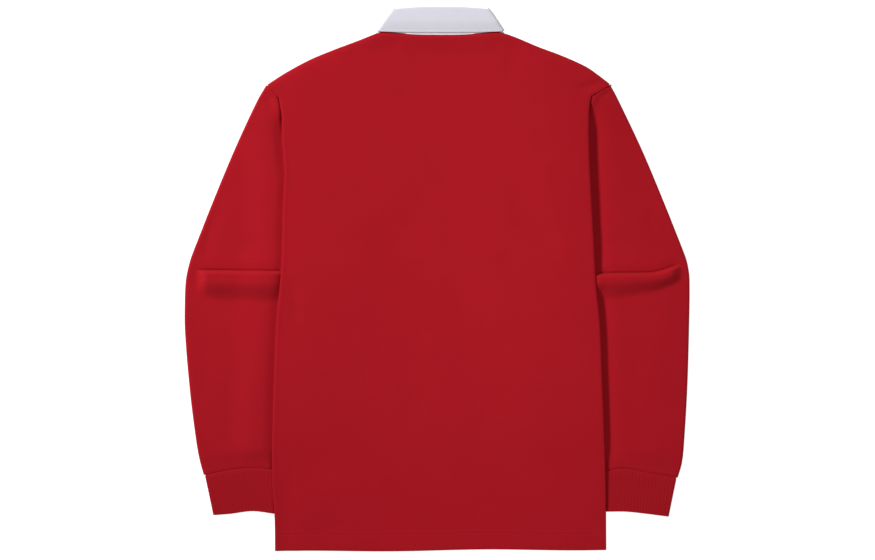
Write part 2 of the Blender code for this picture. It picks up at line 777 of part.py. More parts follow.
def placket_strip(low_row, top_gap, share, sink):
    """Rows of points of a strip along the front's slot, sink below the front's middle."""
    high_row = shoulder_corner("right").y
    rows = [mix(low_row, high_row, k / PLACKET_STEPS) for k in range(PLACKET_STEPS + 1)]
    grid = []
    for row_y in rows:
        points = [panel_point("front", side, share, row_y) for side in ("left", "right")]
        middle = panel_point("front", "right", 0.0, row_y)
        line = (points[0], middle, points[1])
        top = neck_y("front", 0.0) - top_gap
        grid.append([(x, min(y, top), z - sink) for x, y, z in line])
    return grid


def make_placket(white):
    """The strip that fills the slot, and the strip that covers it outside."""
    inside = placket_strip(SLOT_ROW + 1.0, 0.5, SLOT_SHARE * 0.95, 0.0)
    cloth_from_grid("placket_under", inside, CLOTH, white)
    sink = CLOTH / 2 + SEAM_GAP + PLACKET_CLOTH / 2
    outside = placket_strip(SLOT_ROW - 8.0, 0.5, SLOT_SHARE * 1.4, sink)
    cloth_from_grid("placket_over", outside, PLACKET_CLOTH, white)


def make_button(button, white):
    """A turned disc with a raised rim on its outer face, which is turned to the floor."""
    radius = BUTTON_RADIUS
    top = FRONT_RAISE - SEAM_GAP - PLACKET_CLOTH - SEAM_GAP
    rings = (
        (radius - 0.7, 0.0), (radius, 0.5), (radius, top - 0.3), (radius - 0.3, top),
    )
    dish = (radius - 1.7, 0.4)
    count = BUTTON_SIDES
    vertices = []
    for ring_radius, z in (dish, *rings):
        for k in range(count):
            angle = 2 * math.pi * k / count
            x = ring_radius * math.cos(angle)
            y = button.y + ring_radius * math.sin(angle)
            vertices.append((x, y, z))
    faces = [list(range(count))[::-1]]
    for ring in range(len(rings)):
        for k in range(count):
            step = (k + 1) % count
            low, high = ring * count, (ring + 1) * count
            faces.append([low + k, low + step, high + step, high + k])
    faces.append([len(rings) * count + k for k in range(count)])
    piece = add_object(button.name, vertices, faces, white)
    piece.data.set_sharp_from_angle(angle=math.radians(35))


def main():
    clear_scene()
    red = material("red_cotton", RED, 0.85)
    cuff_red = material("red_rib", CUFF_RED, 0.9)
    white = material("white_twill", COLLAR_WHITE, 0.75)
    button_white = material("white_button", BUTTON_WHITE, 0.35)
    make_body(red)
    for side in SIGN:
        make_sleeve(side, red)
        make_cuff(side, cuff_red)
    make_collar(white)
    make_placket(white)
    for button in BUTTONS:
        make_button(button, button_white)


main()
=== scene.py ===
"""The looks of a long-sleeved polo shirt that lies flat with its back up.

The camera side is +Z, the collar points to +Y, and the floor is z = 0. The wearer's right is +X.
Sizes are in millimetres and are turned into metres where a mesh is made. The forms repeat those of
the solids at a finer spacing, with the creases, stitching and ribs that the cloth has.
"""

import math
from collections import namedtuple
from functools import lru_cache

import bpy
from mathutils import Matrix, Vector, noise


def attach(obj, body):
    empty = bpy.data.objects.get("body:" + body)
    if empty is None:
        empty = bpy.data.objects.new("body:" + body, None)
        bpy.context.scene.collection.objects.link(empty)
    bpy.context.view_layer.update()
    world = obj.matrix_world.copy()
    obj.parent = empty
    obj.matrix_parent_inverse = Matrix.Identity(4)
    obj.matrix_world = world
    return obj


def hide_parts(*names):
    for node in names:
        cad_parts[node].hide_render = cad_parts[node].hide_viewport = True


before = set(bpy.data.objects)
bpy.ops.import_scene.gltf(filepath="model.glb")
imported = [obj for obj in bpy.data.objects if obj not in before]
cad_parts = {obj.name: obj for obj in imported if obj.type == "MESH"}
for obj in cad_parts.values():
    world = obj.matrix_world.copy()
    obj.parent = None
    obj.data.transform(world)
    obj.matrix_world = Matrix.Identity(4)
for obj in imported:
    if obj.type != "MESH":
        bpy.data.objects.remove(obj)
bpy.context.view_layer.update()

MM = 0.001

# Driving sizes of the shirt as it lies
HEM_Y = -375.5
NECK_HALF = 86.0
NECK_Y = 342.2
FRONT_NECK_DROP = 80.0
SHOULDER_TURN = 3.0
SHOULDER_STEPS = 5
NECK_TURN = 1.2

# Thickness of the cloth, and the gap left at each seam
CLOTH = 1.4
COLLAR_CLOTH = 1.5
PLACKET_CLOTH = 1.3
EDGE_ROUND = 0.45
SEAM_GAP = 0.3
TURNED_GAP = 0.4
NECK_GAP = 0.9

# How far the back's neck edge rolls down
NECK_ROLL = 2.4

# The turned-up hem, and the heights of its two rows of stitches
HEM_HEIGHT = 28.0
HEM_ROWS = (HEM_HEIGHT - 0.6, HEM_HEIGHT - 5.0)

# The sleeve's edge runs this far in under the back's edge at the shoulder, with a fine gap
SEAM_ALLOWANCE = 1.7
SEAM_SINK = CLOTH + 0.15

# The sleeve's tip at the shoulder, where its two walls meet
SLEEVE_TIP = 1.8
SHOULDER_TIP_LEVEL = 6.0
SHOULDER_TIP_HALF = 0.8
SHOULDER_LIFT = 4.8

# How far below the armhole's break the sleeve starts to rise to the back's edge
NEAR_SEAM = {"left": 36.0, "right": 18.0}

# How wide and how deep the groove along the armhole seam is on each side
SEAM_RISE = {"left": 1.0, "right": 3.4}
SEAM_STEP = {"left": 0.1, "right": 0.6}

# The sleeve rises away from the body on the left, and dips beside it on the right
RISE_HEIGHT = 3.6
RISE_OUT = 15.0
VALLEY_DEPTH = 2.2
VALLEY_OUT = 5.5

# Heights of the cloth's middle at the sides, from the floor up
FRONT_LEVEL = CLOTH / 2
FRONT_STRIP_LEVEL = 2.7
SLEEVE_FRONT_LEVEL = 4.4
SLEEVE_BACK_LEVEL = 6.2
SLEEVE_OPEN_LEVEL = 5.9
SLEEVE_CROWN = 0.6
CUFF_INNER_LEVEL = 2.6
BACK_STRIP_LEVEL = 8.0
BACK_STRIP_HEM_LEVEL = 5.6
BACK_NECK_LEVEL = 8.8
BACK_SHOULDER_LEVEL = 12.4
SIDE_SEAM_LEVEL = 5.35
FOLD_END_LEVEL = 12.6
STRIP_END_SINK = 0.35
FOLD_TAPER_Y = {"left": 196.0, "right": 212.0}

# How far the fold bulges out sideways
FOLD_REACH = {"left": 0.4, "right": 1.0}

# How far the back's edge stands up along the fold
FOLD_LIP = {"left": 0.8, "right": 0.0}

# The front is held off the floor by the collar's points, the placket and its buttons
FRONT_RAISE = 3.4

# The front's slot: its foot, its half width as a share of the panel's, and the columns over it
SLOT_ROW = 124.0
SLOT_SHARE = 0.057
SLOT_COLUMNS = 4

# The placket's strips: their half widths as shares of the slot's, and where each one starts
UNDER_STRIP = 0.95
OVER_STRIP = 1.4
UNDER_FOOT = SLOT_ROW + 1.0
OVER_FOOT = SLOT_ROW - 8.0

# The elbow: its crease, the slow rise above it, and the groove between crease and ridge
CREASE_DEPTH = 0.8
ABOVE_CREASE = 1.6
ABOVE_REACH = 46.0
CREASE_END = 16.0
GROOVE_DEPTH = 2.0
GROOVE_WIDTH = 1.8

# The cuff: its height as it lies, its wall and ribs, and its step in from the sleeve
CUFF_HEIGHT = 5.6
CUFF_LENGTH = 62.0
CUFF_WALL = 1.5
RIB_COUNT = 44
RIB_RELIEF = 0.22
CUFF_SEAM_SINK = 0.8
CUFF_STEP = 1.2
RIB_POINTS = 9

SIGN = {"left": -1.0, "right": 1.0}
DOWN = (0.0, 0.0, -1.0)
PanelGrid = namedtuple("PanelGrid", "below above neck_columns outer_columns")
Edge = namedtuple("Edge", "y x")
Level = namedtuple("Level", "y z")
Corner = namedtuple("Corner", "x y")
ElbowCrease = namedtuple(
    "ElbowCrease", "inner_y outer_y inner_height outer_height hook end crest inner_fall outer_fall"
)
CollarSide = namedtuple("CollarSide", "fold seam leaf")
CuffEnd = namedtuple("CuffEnd", "x y")
Button = namedtuple("Button", "name y turn")
Fold = namedtuple("Fold", "x y to_x to_y bow width height")

# Rows of points below and above the slot's foot, and columns to the neck's side and past it
BACK_GRID = PanelGrid(138, 36, 27, 42)
FRONT_GRID = PanelGrid(92, 30, 20, 30)

# Where the back turns under, out from the middle of the body
BODY_FOLD = {
    "left": (
        Edge(-377, 228.9), Edge(-330, 229.6), Edge(-260, 233.0), Edge(-187, 231.6),
        Edge(-105, 228.9), Edge(-50, 226.1), Edge(-7, 221.9), Edge(34, 219.1),
        Edge(104, 217.4), Edge(150, 215.4), Edge(187, 218.0), Edge(229, 219.8),
        Edge(252, 224.0),
    ),
    "right": (
        Edge(-376, 230.7), Edge(-299, 230.2), Edge(-243, 228.9), Edge(-132, 224.7),
        Edge(-63, 221.9), Edge(-7, 216.4), Edge(48, 213.6), Edge(110, 210.1),
        Edge(166, 207.4), Edge(220, 206.5), Edge(243, 207.8), Edge(255, 210.5),
    ),
}

# Height of the back's middle at that fold
FOLD_LEVEL = {
    "left": (
        Level(-377, 8.7), Level(-342, 8.1), Level(-290, 9.1), Level(-262, 9.8),
        Level(-208, 12.0), Level(-97, 12.8), Level(0, 14.2), Level(60, 13.6),
        Level(140, 13.0), Level(200, 12.8),
    ),
    "right": (
        Level(-377, 8.7), Level(-342, 8.1), Level(-290, 9.1), Level(-262, 9.8),
        Level(-208, 12.4), Level(-97, 13.2), Level(0, 14.6), Level(83, 15.8),
        Level(140, 16.2), Level(200, 16.2),
    ),
}

# Height of the back's middle along the middle of the body
CENTRE_LEVEL = (
    Level(-376, 5.9), Level(-346, 4.9), Level(-300, 5.1), Level(-180, 6.1),
    Level(40, 6.5), Level(150, 7.9), Level(260, 7.9), Level(300, 7.2),
    Level(316, 7.1), Level(338, 8.9),
)

# The sleeve's outer edge, from the cuff seam up to the shoulder
SLEEVE_EDGE = {
    "left": (
        Edge(-271, 327.9), Edge(-250, 333.8), Edge(-222, 339.0), Edge(-153, 347.6),
        Edge(-70, 354.4), Edge(-28, 354.5), Edge(0, 352.9), Edge(20, 348.7),
        Edge(34, 344.4), Edge(97, 320.1), Edge(180, 285.7), Edge(249, 253.4),
        Edge(270, 241.0),
    ),
    "right": (
        Edge(-275, 328.6), Edge(-250, 336.2), Edge(-222, 339.3), Edge(-153, 343.4),
        Edge(-70, 345.9), Edge(0, 346.6), Edge(20, 344.0), Edge(34, 339.8),
        Edge(97, 315.3), Edge(180, 280.6), Edge(249, 247.6), Edge(270, 236.5),
    ),
}

# How far the side seam and, above the underarm, the armhole seam lie inside the fold
TURN_IN = (
    Edge(-376, 34.0), Edge(-100, 43.0), Edge(10, 50.0), Edge(25, 50.0), Edge(60, 38.0),
    Edge(120, 20.0), Edge(200, 8.5), Edge(255, 4.6),
)
UNDERARM_Y = 25.0

# The sleeve's inner edge below the underarm, out from the body's fold
SLEEVE_INNER = (
    Edge(-276, -2.0), Edge(-258, -2.0), Edge(-240, -2.2), Edge(-225, -3.6),
    Edge(-120, -22.0), Edge(0, -42.0), Edge(25, -44.5),
)

# The sleeve's last row, which bends to meet the cuff's seam
SLEEVE_END = -270.0

# The back's neck edge, from its middle out
NECK_EDGE = (
    Corner(0, 339.6), Corner(30, 339.9), Corner(52, 341.3), Corner(68, 343.2),
    Corner(78, 344.0), Corner(83, 343.9), Corner(86, 341.4),
)

SHOULDER = {
    "left": (
        Edge(342.2, 86.0), Edge(331.1, 113.7), Edge(318.7, 147.0), Edge(304.8, 180.3),
        Edge(286.8, 213.6), Edge(270.4, 239.0),
    ),
    "right": (
        Edge(342.2, 86.0), Edge(336.7, 102.6), Edge(322.8, 136.0), Edge(310.4, 169.0),
        Edge(295.1, 202.5), Edge(283.8, 219.0), Edge(271.4, 235.0),
    ),
}
SHOULDER_OUT = (0.431, 0.902)
ARMHOLE_BREAK = {"left": Corner(224.0, 252.0), "right": Corner(210.5, 255.0)}

ELBOW = {
    "left": ElbowCrease(11.0, 13.0, 8.4, 9.2, 0.0, 339.0, 14.0, 30.0, 28.0),
    "right": ElbowCrease(8.0, 10.0, 8.0, 7.8, 12.0, 336.0, 8.0, 31.0, 18.0),
}

CUFF_SEAM = {
    "left": (
        CuffEnd(232.9, -263.2), CuffEnd(260.1, -261.6), CuffEnd(287.2, -263.2),
        CuffEnd(321.9, -270.0), CuffEnd(328.0, -271.5),
    ),
    "right": (
        CuffEnd(233.4, -264.7), CuffEnd(257.8, -262.1), CuffEnd(284.3, -267.3),
        CuffEnd(311.0, -271.6), CuffEnd(329.0, -275.0),
    ),
}
CUFF_HEM = {
    "left": (
        CuffEnd(229.6, -325.0), CuffEnd(260.1, -321.3), CuffEnd(291.0, -325.0),
        CuffEnd(315.1, -326.9),
    ),
    "right": (
        CuffEnd(230.0, -322.0), CuffEnd(257.8, -322.0), CuffEnd(284.3, -324.7),
        CuffEnd(317.8, -329.0),
    ),
}

# The collar: its fold, its seam on the neck and its leaf's edge, at the back and at one side
COLLAR_FOLD_Y = 378.2
COLLAR_SIDES = {
    "left": CollarSide(Corner(62.0, 375.2), Corner(83.0, 342.6), Corner(84.4, 344.3)),
    "right": CollarSide(Corner(65.0, 375.2), Corner(85.0, 342.6), Corner(86.0, 344.3)),
}
COLLAR_LEAF_Y = 343.2
COLLAR_SIDE_OUT = (0.87, 0.49)
COLLAR_LEAF_GAP = 3.1
COLLAR_EDGE_GAP = 1.52
COLLAR_SIDE_REACH = 0.5
COLLAR_FRONT_LEVEL = FRONT_LEVEL + FRONT_RAISE
COLLAR_STAND_FRONT = 30.0
COLLAR_STAND_SIDE = 36.0
COLLAR_LEAF_START = Corner(93.0, 337.0)
COLLAR_TIP = Corner(50.0, 230.0)
COLLAR_END_X = 1.5

# A button: its radius, the corners of its circle, its holes and the thread through them
BUTTON_RADIUS = 5.6
BUTTON_SIDES = 48
HOLE_OUT = 1.35
HOLE_RADIUS = 0.62
BUTTON_THREAD = 0.15
BUTTONS = (
    Button("button_1", 246.0, 0.2), Button("button_2", 198.0, 0.9), Button("button_3", 150.0, 0.5),
)

# Creases of the back, in the picture's places: x, y to x, y, then bow, half width and height
BACK_FOLDS = (
    Fold(-96, 327, -52, 331, 5, 9, -0.9),
    Fold(-128, 318, -84, 300, -6, 14, -0.7),
    Fold(62, 326, 118, 318, -4, 11, -0.9),
    Fold(118, 316, 92, 276, 6, 9, -0.7),
    Fold(-66, 266, -8, 240, 8, 15, -0.5),
    Fold(100, 150, 156, 22, -10, 17, -0.6),
    Fold(126, 168, 184, 64, 8, 13, 0.4),
    Fold(187, 266, 229, 277, 2, 3.4, -1.2),
    Fold(-196, -60, -206, 4, -3, 8, -0.9),
    Fold(-150, -236, -196, -330, 6, 22, -0.6),
    Fold(150, -232, 190, -322, -6, 20, -0.5),
    Fold(-206, -250, -214, -410, 4, 11, -0.9),
    Fold(-30, -160, 60, -196, 10, 34, 0.4),
    Fold(-120, 60, -60, -30, 12, 30, 0.35),
)
FRONT_FOLDS = (
    Fold(-150, 120, -70, -40, 16, 18, 1.4),
    Fold(64, 130, 142, 10, -12, 15, 1.2),
    Fold(-40, 20, 30, -130, 10, 20, 1.0),
    Fold(-170, -120, -96, -260, -14, 16, 1.3),
    Fold(84, -110, 150, -250, 10, 18, 1.1),
    Fold(-20, -220, 60, -320, -8, 22, 0.9),
    Fold(-140, 290, -96, 190, 8, 12, 1.1),
    Fold(128, 296, 100, 200, -6, 12, 1.2),
)
SLEEVE_BACK_FOLDS = {
    "left": (
        Fold(309, 100, 328, 20, -3, 6, -1.1),
        Fold(314, -30, 340, 22, 6, 5, -1.3),
        Fold(232, 226, 222, 140, 4, 6, -0.8),
        Fold(262, 214, 292, 120, -5, 15, 0.5),
        Fold(250, 70, 286, 30, 4, 10, -0.6),
        Fold(250, -70, 262, -180, 3, 14, 0.5),
        Fold(318, -60, 322, -170, -4, 10, -0.5),
        Fold(284, -120, 296, -236, -4, 12, -0.4),
        Fold(262, -232, 266, -262, 0, 5, 0.35),
        Fold(300, -226, 296, -262, 0, 6, 0.4),
    ),
    "right": (
        Fold(232, 214, 262, 110, 5, 10, 0.5),
        Fold(268, 176, 300, 84, -4, 12, -0.5),
        Fold(288, 96, 318, 36, 5, 8, -0.7),
        Fold(240, 66, 262, 26, -3, 9, -0.6),
        Fold(258, -66, 268, -190, -4, 12, -0.4),
        Fold(300, -50, 310, -180, 4, 12, 0.5),
        Fold(258, -228, 262, -262, 0, 5, 0.35),
        Fold(296, -232, 300, -266, 0, 6, 0.4),
    ),
}
SLEEVE_FRONT_FOLDS = {
    "left": (
        Fold(262, -10, 340, -22, -5, 6, 1.6),
        Fold(276, 190, 300, 70, 6, 9, 1.0),
        Fold(290, -60, 306, -200, -6, 10, 1.1),
        Fold(262, -30, 330, -52, 4, 7, 1.0),
    ),
    "right": (
        Fold(258, -12, 330, -16, -5, 6, 1.6),
        Fold(264, 180, 292, 80, -6, 9, 1.0),
        Fold(296, -80, 290, -210, 6, 10, 1.1),
        Fold(256, -24, 326, -60, -4, 7, 1.0),
    ),
}

# Small unevenness of all the cloth: how far apart and how high
WAVE_STEP = 88.0
WAVE_HEIGHT = 0.17
RIPPLE_STEP = 31.0
RIPPLE_HEIGHT = 0.06

# Flat sizes of the cut pieces in metres, and the cloth's area where the cut isn't a rectangle
Cut = namedtuple("Cut", "width length area")
CUTS = {
    "back": Cut(0.548, 0.722, 0.355),
    "front": Cut(0.548, 0.722, 0.335),
    "sleeve": Cut(0.370, 0.560, 0.155),
    "cuff": Cut(0.200, 0.061, 0.0122),
    "collar": Cut(0.470, 0.075, 0.032),
    "placket_over": Cut(0.038, 0.151, 0.0057),
    "placket_under": Cut(0.026, 0.142, 0.0036),
}

# Colours, as parts of one, and the widths of the knit and the weave in metres
JERSEY_RED = (0.405, 0.0052, 0.0128)
RIB_RED = (0.385, 0.0050, 0.0118)
THREAD_RED = (0.36, 0.0050, 0.0115)
TWILL_WHITE = (0.73, 0.72, 0.80)
THREAD_WHITE = (0.66, 0.66, 0.70)
BUTTON_WHITE = (0.72, 0.71, 0.68)
WALE = 0.0011
COURSE = 0.0009
RIB_WALE = 0.0008
TWILL_STEP = 0.0007

# Height of the knit's and the weave's relief in metres
CLOTH_RELIEF = 0.0002

# Stitches: the thread's half thickness, their length and the space to the next one
Stitch = namedtuple("Stitch", "half length space")
HEM_STITCH = Stitch(0.28, 2.9, 0.7)
TWILL_STITCH = Stitch(0.2, 2.2, 0.6)

# The picture's middle on the shirt, its width at a level of the cloth, and the camera's height
VIEW_X = -3.5
VIEW_Y = -0.35
VIEW_WIDTH = 1213.6
VIEW_LEVEL = 8.0
CAMERA_HEIGHT = 3200.0
SENSOR = 36.0

# The lights: where they aim, how far off they are, their width, cone and power in watts
Lamp = namedtuple("Lamp", "turn rise distance width cone power")
LIGHT_AIM = (0.0, 35.0, 0.0)
KEY = Lamp(math.radians(38), math.radians(35), 4500.0, 480.0, math.radians(27), 810.0)
OVERHEAD = Lamp(math.radians(90), math.radians(89), 3500.0, 150.0, math.radians(24), 70.0)
FILL_STRENGTH = 0.30
FLOOR_SIZE = 6000.0
FLOOR_DROP = 0.02


def mix(start, end, share):
    return start + (end - start) * share


def smooth(start, end, value):
    """0 at start and 1 at end, level at both."""
    share = min(1.0, max(0.0, (value - start) / (end - start)))
    return share * share * (3.0 - 2.0 * share)


def bump(distance, width):
    """1 on a line and falling away to both sides of it."""
    return math.exp(-(distance / width) ** 2)


def spread(start, end, count):
    """Evenly spaced values from start up to, but without, the end."""
    return [mix(start, end, k / count) for k in range(count)]


@lru_cache(maxsize=None)
def curve(rows, at):
    """A smooth curve through rows of (position, value), read at one position."""
    rows = sorted(rows)
    if at <= rows[0][0]:
        return rows[0][1]
    if at >= rows[-1][0]:
        return rows[-1][1]
    right = next(k for k in range(1, len(rows)) if rows[k][0] >= at)
    left = right - 1
    width = rows[right][0] - rows[left][0]

    def slope(k):
        before = rows[max(0, k - 1)]
        after = rows[min(len(rows) - 1, k + 1)]
        return (after[1] - before[1]) / (after[0] - before[0])

    t = (at - rows[left][0]) / width
    start_weight = 2 * t ** 3 - 3 * t ** 2 + 1
    end_weight = 1 - start_weight
    start_slope = (t ** 3 - 2 * t ** 2 + t) * width * slope(left)
    end_slope = (t ** 3 - t ** 2) * width * slope(right)
    return start_weight * rows[left][1] + end_weight * rows[right][1] + start_slope + end_slope


def straight(rows, at):
    """Straight runs through rows of (position, value), read at one position."""
    if at <= rows[0][0]:
        return rows[0][1]
    for left, right in zip(rows, rows[1:]):
        if at <= right[0]:
            return mix(left[1], right[1], (at - left[0]) / (right[0] - left[0]))
    return rows[-1][1]


def fold_height(fold, x, y):
    """Height that one crease adds at a place: steep on one flank and soft on the other."""
    along_x, along_y = fold.to_x - fold.x, fold.to_y - fold.y
    length = math.hypot(along_x, along_y)
    share = ((x - fold.x) * along_x + (y - fold.y) * along_y) / length ** 2
    if not -0.05 < share < 1.05:
        return 0.0
    across = ((x - fold.x) * along_y - (y - fold.y) * along_x) / length
    across -= fold.bow * 4 * share * (1 - share)
    width = fold.width if across < 0 else fold.width * 1.6
    if abs(across) > 3 * width:
        return 0.0
    ends = smooth(-0.05, 0.3, share) * (1.0 - smooth(0.65, 1.05, share))
    return fold.height * ends * bump(across, width)


def creases(folds, x, y):
    return sum(fold_height(fold, x, y) for fold in folds)


def unevenness(x, y, seed):
    """The slight waves that laid cloth keeps."""
    wave = noise.noise(Vector((x / WAVE_STEP, y / WAVE_STEP, seed)))
    ripple = noise.noise(Vector((x / RIPPLE_STEP, y / RIPPLE_STEP, seed + 7.0)))
    return WAVE_HEIGHT * wave + RIPPLE_HEIGHT * ripple


def body_fold(side, y):
    return curve(BODY_FOLD[side], y)


def side_seam(side, y):
    """Distance from the middle to the armhole or side seam, inside the fold."""
    return body_fold(side, y) - curve(TURN_IN, y)


def shoulder_y(side, x):
    return curve(tuple((row.x, row.y) for row in SHOULDER[side]), x)


@lru_cache(maxsize=None)
def shoulder_corner(side):
    """Where the armhole seam meets the shoulder's turned edge."""
    end = SHOULDER[side][-1]
    return Corner(end.x - SHOULDER_OUT[0] * SHOULDER_TURN, end.y - SHOULDER_OUT[1] * SHOULDER_TURN)


def shoulder_reach(x):
    """How far in from the outline the shoulder's edge starts to turn over."""
    return mix(NECK_TURN, SHOULDER_TURN, smooth(NECK_HALF, NECK_HALF + 30.0, x))


def neck_share(side):
    """The share of the panel's half width where its neck edge ends."""
    return (NECK_HALF - SHOULDER_OUT[0] * NECK_TURN) / shoulder_corner(side).x


def armhole_seam(side, y):
    """The stretch of armhole seam that shows, from the fold's end to the shoulder."""
    low = ARMHOLE_BREAK[side]
    high = shoulder_corner(side)
    return mix(low.x, high.x, (y - low.y) / (high.y - low.y))


def fold_taper(side, y):
    """1 along the fold, 0 at its upper end where the layers close up."""
    return 1.0 - smooth(FOLD_TAPER_Y[side], ARMHOLE_BREAK[side].y, y)


def strip_level(face, side, y):
    level = FRONT_STRIP_LEVEL
    if face == "back":
        level = mix(BACK_STRIP_HEM_LEVEL, BACK_STRIP_LEVEL, smooth(-330.0, -245.0, y))
    return level - STRIP_END_SINK * (1.0 - fold_taper(side, y))


def fold_level(face, side, y):
    """Height of the panel's middle at its fold or, above it, at the armhole seam."""
    if face == "front":
        return FRONT_LEVEL
    low = ARMHOLE_BREAK[side].y
    if y <= low:
        return mix(FOLD_END_LEVEL, curve(FOLD_LEVEL[side], y), fold_taper(side, y))
    rise = (y - low) / (shoulder_corner(side).y - low)
    return mix(FOLD_END_LEVEL, BACK_SHOULDER_LEVEL, smooth(0.0, 1.0, rise))


def front_raise(x, y):
    """How far the collar, placket and buttons hold the front panel off the floor."""
    half = mix(26.0, 100.0, smooth(165.0, 225.0, y))
    across = 1.0 - smooth(half, half + 60.0, abs(x))
    return FRONT_RAISE * across * smooth(50.0, 108.0, y)


def hem_y(x):
    return HEM_Y + 0.006 * x + 0.9 * math.sin(x / 41.0)


@lru_cache(maxsize=None)
def half_width(side, y):
    """Distance from the middle to where the flat panel ends."""
    if y > ARMHOLE_BREAK[side].y:
        return armhole_seam(side, y)
    return body_fold(side, y) - CLOTH / 2 - FOLD_REACH[side]


def neck_y(face, x):
    share = abs(x) / NECK_HALF
    if face == "back":
        return curve(NECK_EDGE, abs(x))
    return NECK_Y - FRONT_NECK_DROP * (1.0 - share ** 2.4)


@lru_cache(maxsize=None)
def top_y(face, side, share):
    """The panel's upper edge before its shoulder turns over."""
    x = share * shoulder_corner(side).x
    if share < neck_share(side) - 1e-6:
        return neck_y(face, x)
    reach = shoulder_reach(x + SHOULDER_OUT[0] * NECK_TURN)
    return shoulder_y(side, x + SHOULDER_OUT[0] * reach) - SHOULDER_OUT[1] * reach


def past_hem(above):
    """0 on the turned-up hem and 1 above it."""
    return smooth(HEM_HEIGHT - 0.6, HEM_HEIGHT + 1.4, above)


def hem_grooves(above):
    """1 under each row of the hem's stitches."""
    return bump(above - HEM_ROWS[0], 1.0) + bump(above - HEM_ROWS[1], 0.9)


def hem_relief(above):
    """The turned-up hem: a double band, with a shallow groove under each row of its stitches."""
    band = 0.35 * (1.0 - past_hem(above))
    roll = 0.35 * (1.0 - smooth(0.0, 3.0, above))
    return band - 0.4 * hem_grooves(above) - roll


def back_relief(x, y, above_hem, below_top):
    """Creases, hem and seam edge of the back, as height over its plain form."""
    height = creases(BACK_FOLDS, x, y) + unevenness(x, y, 1.0) + hem_relief(above_hem)
    roll = mix(NECK_ROLL, 0.8, smooth(NECK_HALF - 4.0, NECK_HALF + 4.0, abs(x)))
    return height - roll * (1.0 - smooth(0.0, 3.4, below_top))


def front_relief(x, y, above_hem, below_top):
    """The front lies on the floor, so its creases only rise from it."""
    height = creases(FRONT_FOLDS, x, y) + 0.25 + unevenness(x, y, 4.0)
    clear = smooth(6.0, 34.0, above_hem) * smooth(0.0, 20.0, below_top)
    in_middle = 1.0 - smooth(140.0, 172.0, abs(x))
    step = 0.3 * past_hem(above_hem) * in_middle
    return max(0.0, height) * clear * in_middle + 0.5 * hem_grooves(above_hem) + step


def panel_point(face, side, share, row_y):
    """A point of the flat part of a body panel, share of the way out from its middle."""
    corner = shoulder_corner(side)
    up = (row_y - HEM_Y) / (corner.y - HEM_Y)
    x = share * half_width(side, row_y)
    low = hem_y(SIGN[side] * share * half_width(side, HEM_Y))
    high = top_y(face, side, share)
    y = mix(low, high, up)
    if face == "front":
        level = FRONT_LEVEL + front_raise(x, y)
        level += front_relief(SIGN[side] * x, y, y - low, high - y)
    else:
        inwards = (1.0 - share) * half_width(side, row_y)
        to_centre = smooth(8.0, 205.0, inwards)
        level = mix(fold_level(face, side, row_y), curve(CENTRE_LEVEL, y), to_centre)
        at_seam = 1.0 - smooth(0.0, 7.0, inwards) if row_y > ARMHOLE_BREAK[side].y else 0.0
        level += FOLD_LIP[side] * (1.0 - smooth(0.0, 5.0, inwards)) * fold_taper(side, row_y)
        level += back_relief(SIGN[side] * x, y, y - low, high - y) * (1.0 - at_seam)
    return (SIGN[side] * x, y, level)


def turned_side(face, side, row_y, steps=9, strip_steps=5, seam_steps=3):
    """The points past the flat panel: its fold, the strip inside, and the bend to the seam."""
    y, edge_level = panel_point(face, side, 1.0, row_y)[1:]
    level = fold_level(face, side, row_y)
    strip = strip_level(face, side, row_y)
    radius = abs(level - strip) / 2
    lift = edge_level - level
    middle_x = half_width(side, row_y)
    middle_z = (level + strip) / 2
    up = 1.0 if face == "back" else -1.0
    points = []
    for k in range(1, steps + 1):
        angle = math.pi * k / steps
        out = FOLD_REACH[side] * math.sin(angle)
        fading = lift * 0.5 * (1.0 + math.cos(angle))
        points.append((middle_x + out, middle_z + up * radius * math.cos(angle) + fading))
    seam_x = side_seam(side, row_y)
    bend = 2.2
    for k in range(1, strip_steps + 1):
        points.append((mix(middle_x, seam_x + bend, k / strip_steps), strip))
    closed = 1.0 - smooth(UNDERARM_Y - 22.0, UNDERARM_Y - 2.0, row_y)
    drop = (abs(strip - SIDE_SEAM_LEVEL) - TURNED_GAP / 2) * closed
    for k in range(1, seam_steps + 1):
        angle = math.pi / 2 * k / seam_steps
        sunk = strip - up * drop * (1 - math.cos(angle))
        points.append((seam_x + bend * (1 - math.sin(angle)), sunk))
    return [(SIGN[side] * x, y, z) for x, z in points]


def shoulder_turn(face, side, share, steps=SHOULDER_STEPS):
    """The points where the shoulder's edge turns over to meet the other panel."""
    row_y = shoulder_corner(side).y
    x, y, z = panel_point(face, side, share, row_y)
    other = panel_point("front" if face == "back" else "back", side, share, row_y)
    meeting = (z + other[2]) / 2
    drop = meeting - z + (TURNED_GAP / 2 if face == "back" else -TURNED_GAP / 2)
    reach = shoulder_reach(abs(x) + SHOULDER_OUT[0] * NECK_TURN)
    points = []
    for k in range(1, steps + 1):
        angle = math.pi / 2 * k / steps
        out = reach * math.sin(angle)
        points.append((
            x + SIGN[side] * SHOULDER_OUT[0] * out,
            y + SHOULDER_OUT[1] * out,
            z + drop * (1 - math.cos(angle)),
        ))
    return points


def body_rows(side, below, above, shoulder=7):
    """Row heights at one side: close at the hem, then up to the armhole seam and along it."""
    low = ARMHOLE_BREAK[side].y
    high = shoulder_corner(side).y
    band = HEM_Y + HEM_HEIGHT + 6.0
    rows = spread(HEM_Y, band, 26) + spread(band, SLOT_ROW, below)
    rows += spread(SLOT_ROW, low - 0.3, above)
    rows += [low - 0.3, low + 0.3]
    return rows + spread(low + 2.0, high, shoulder) + [high]


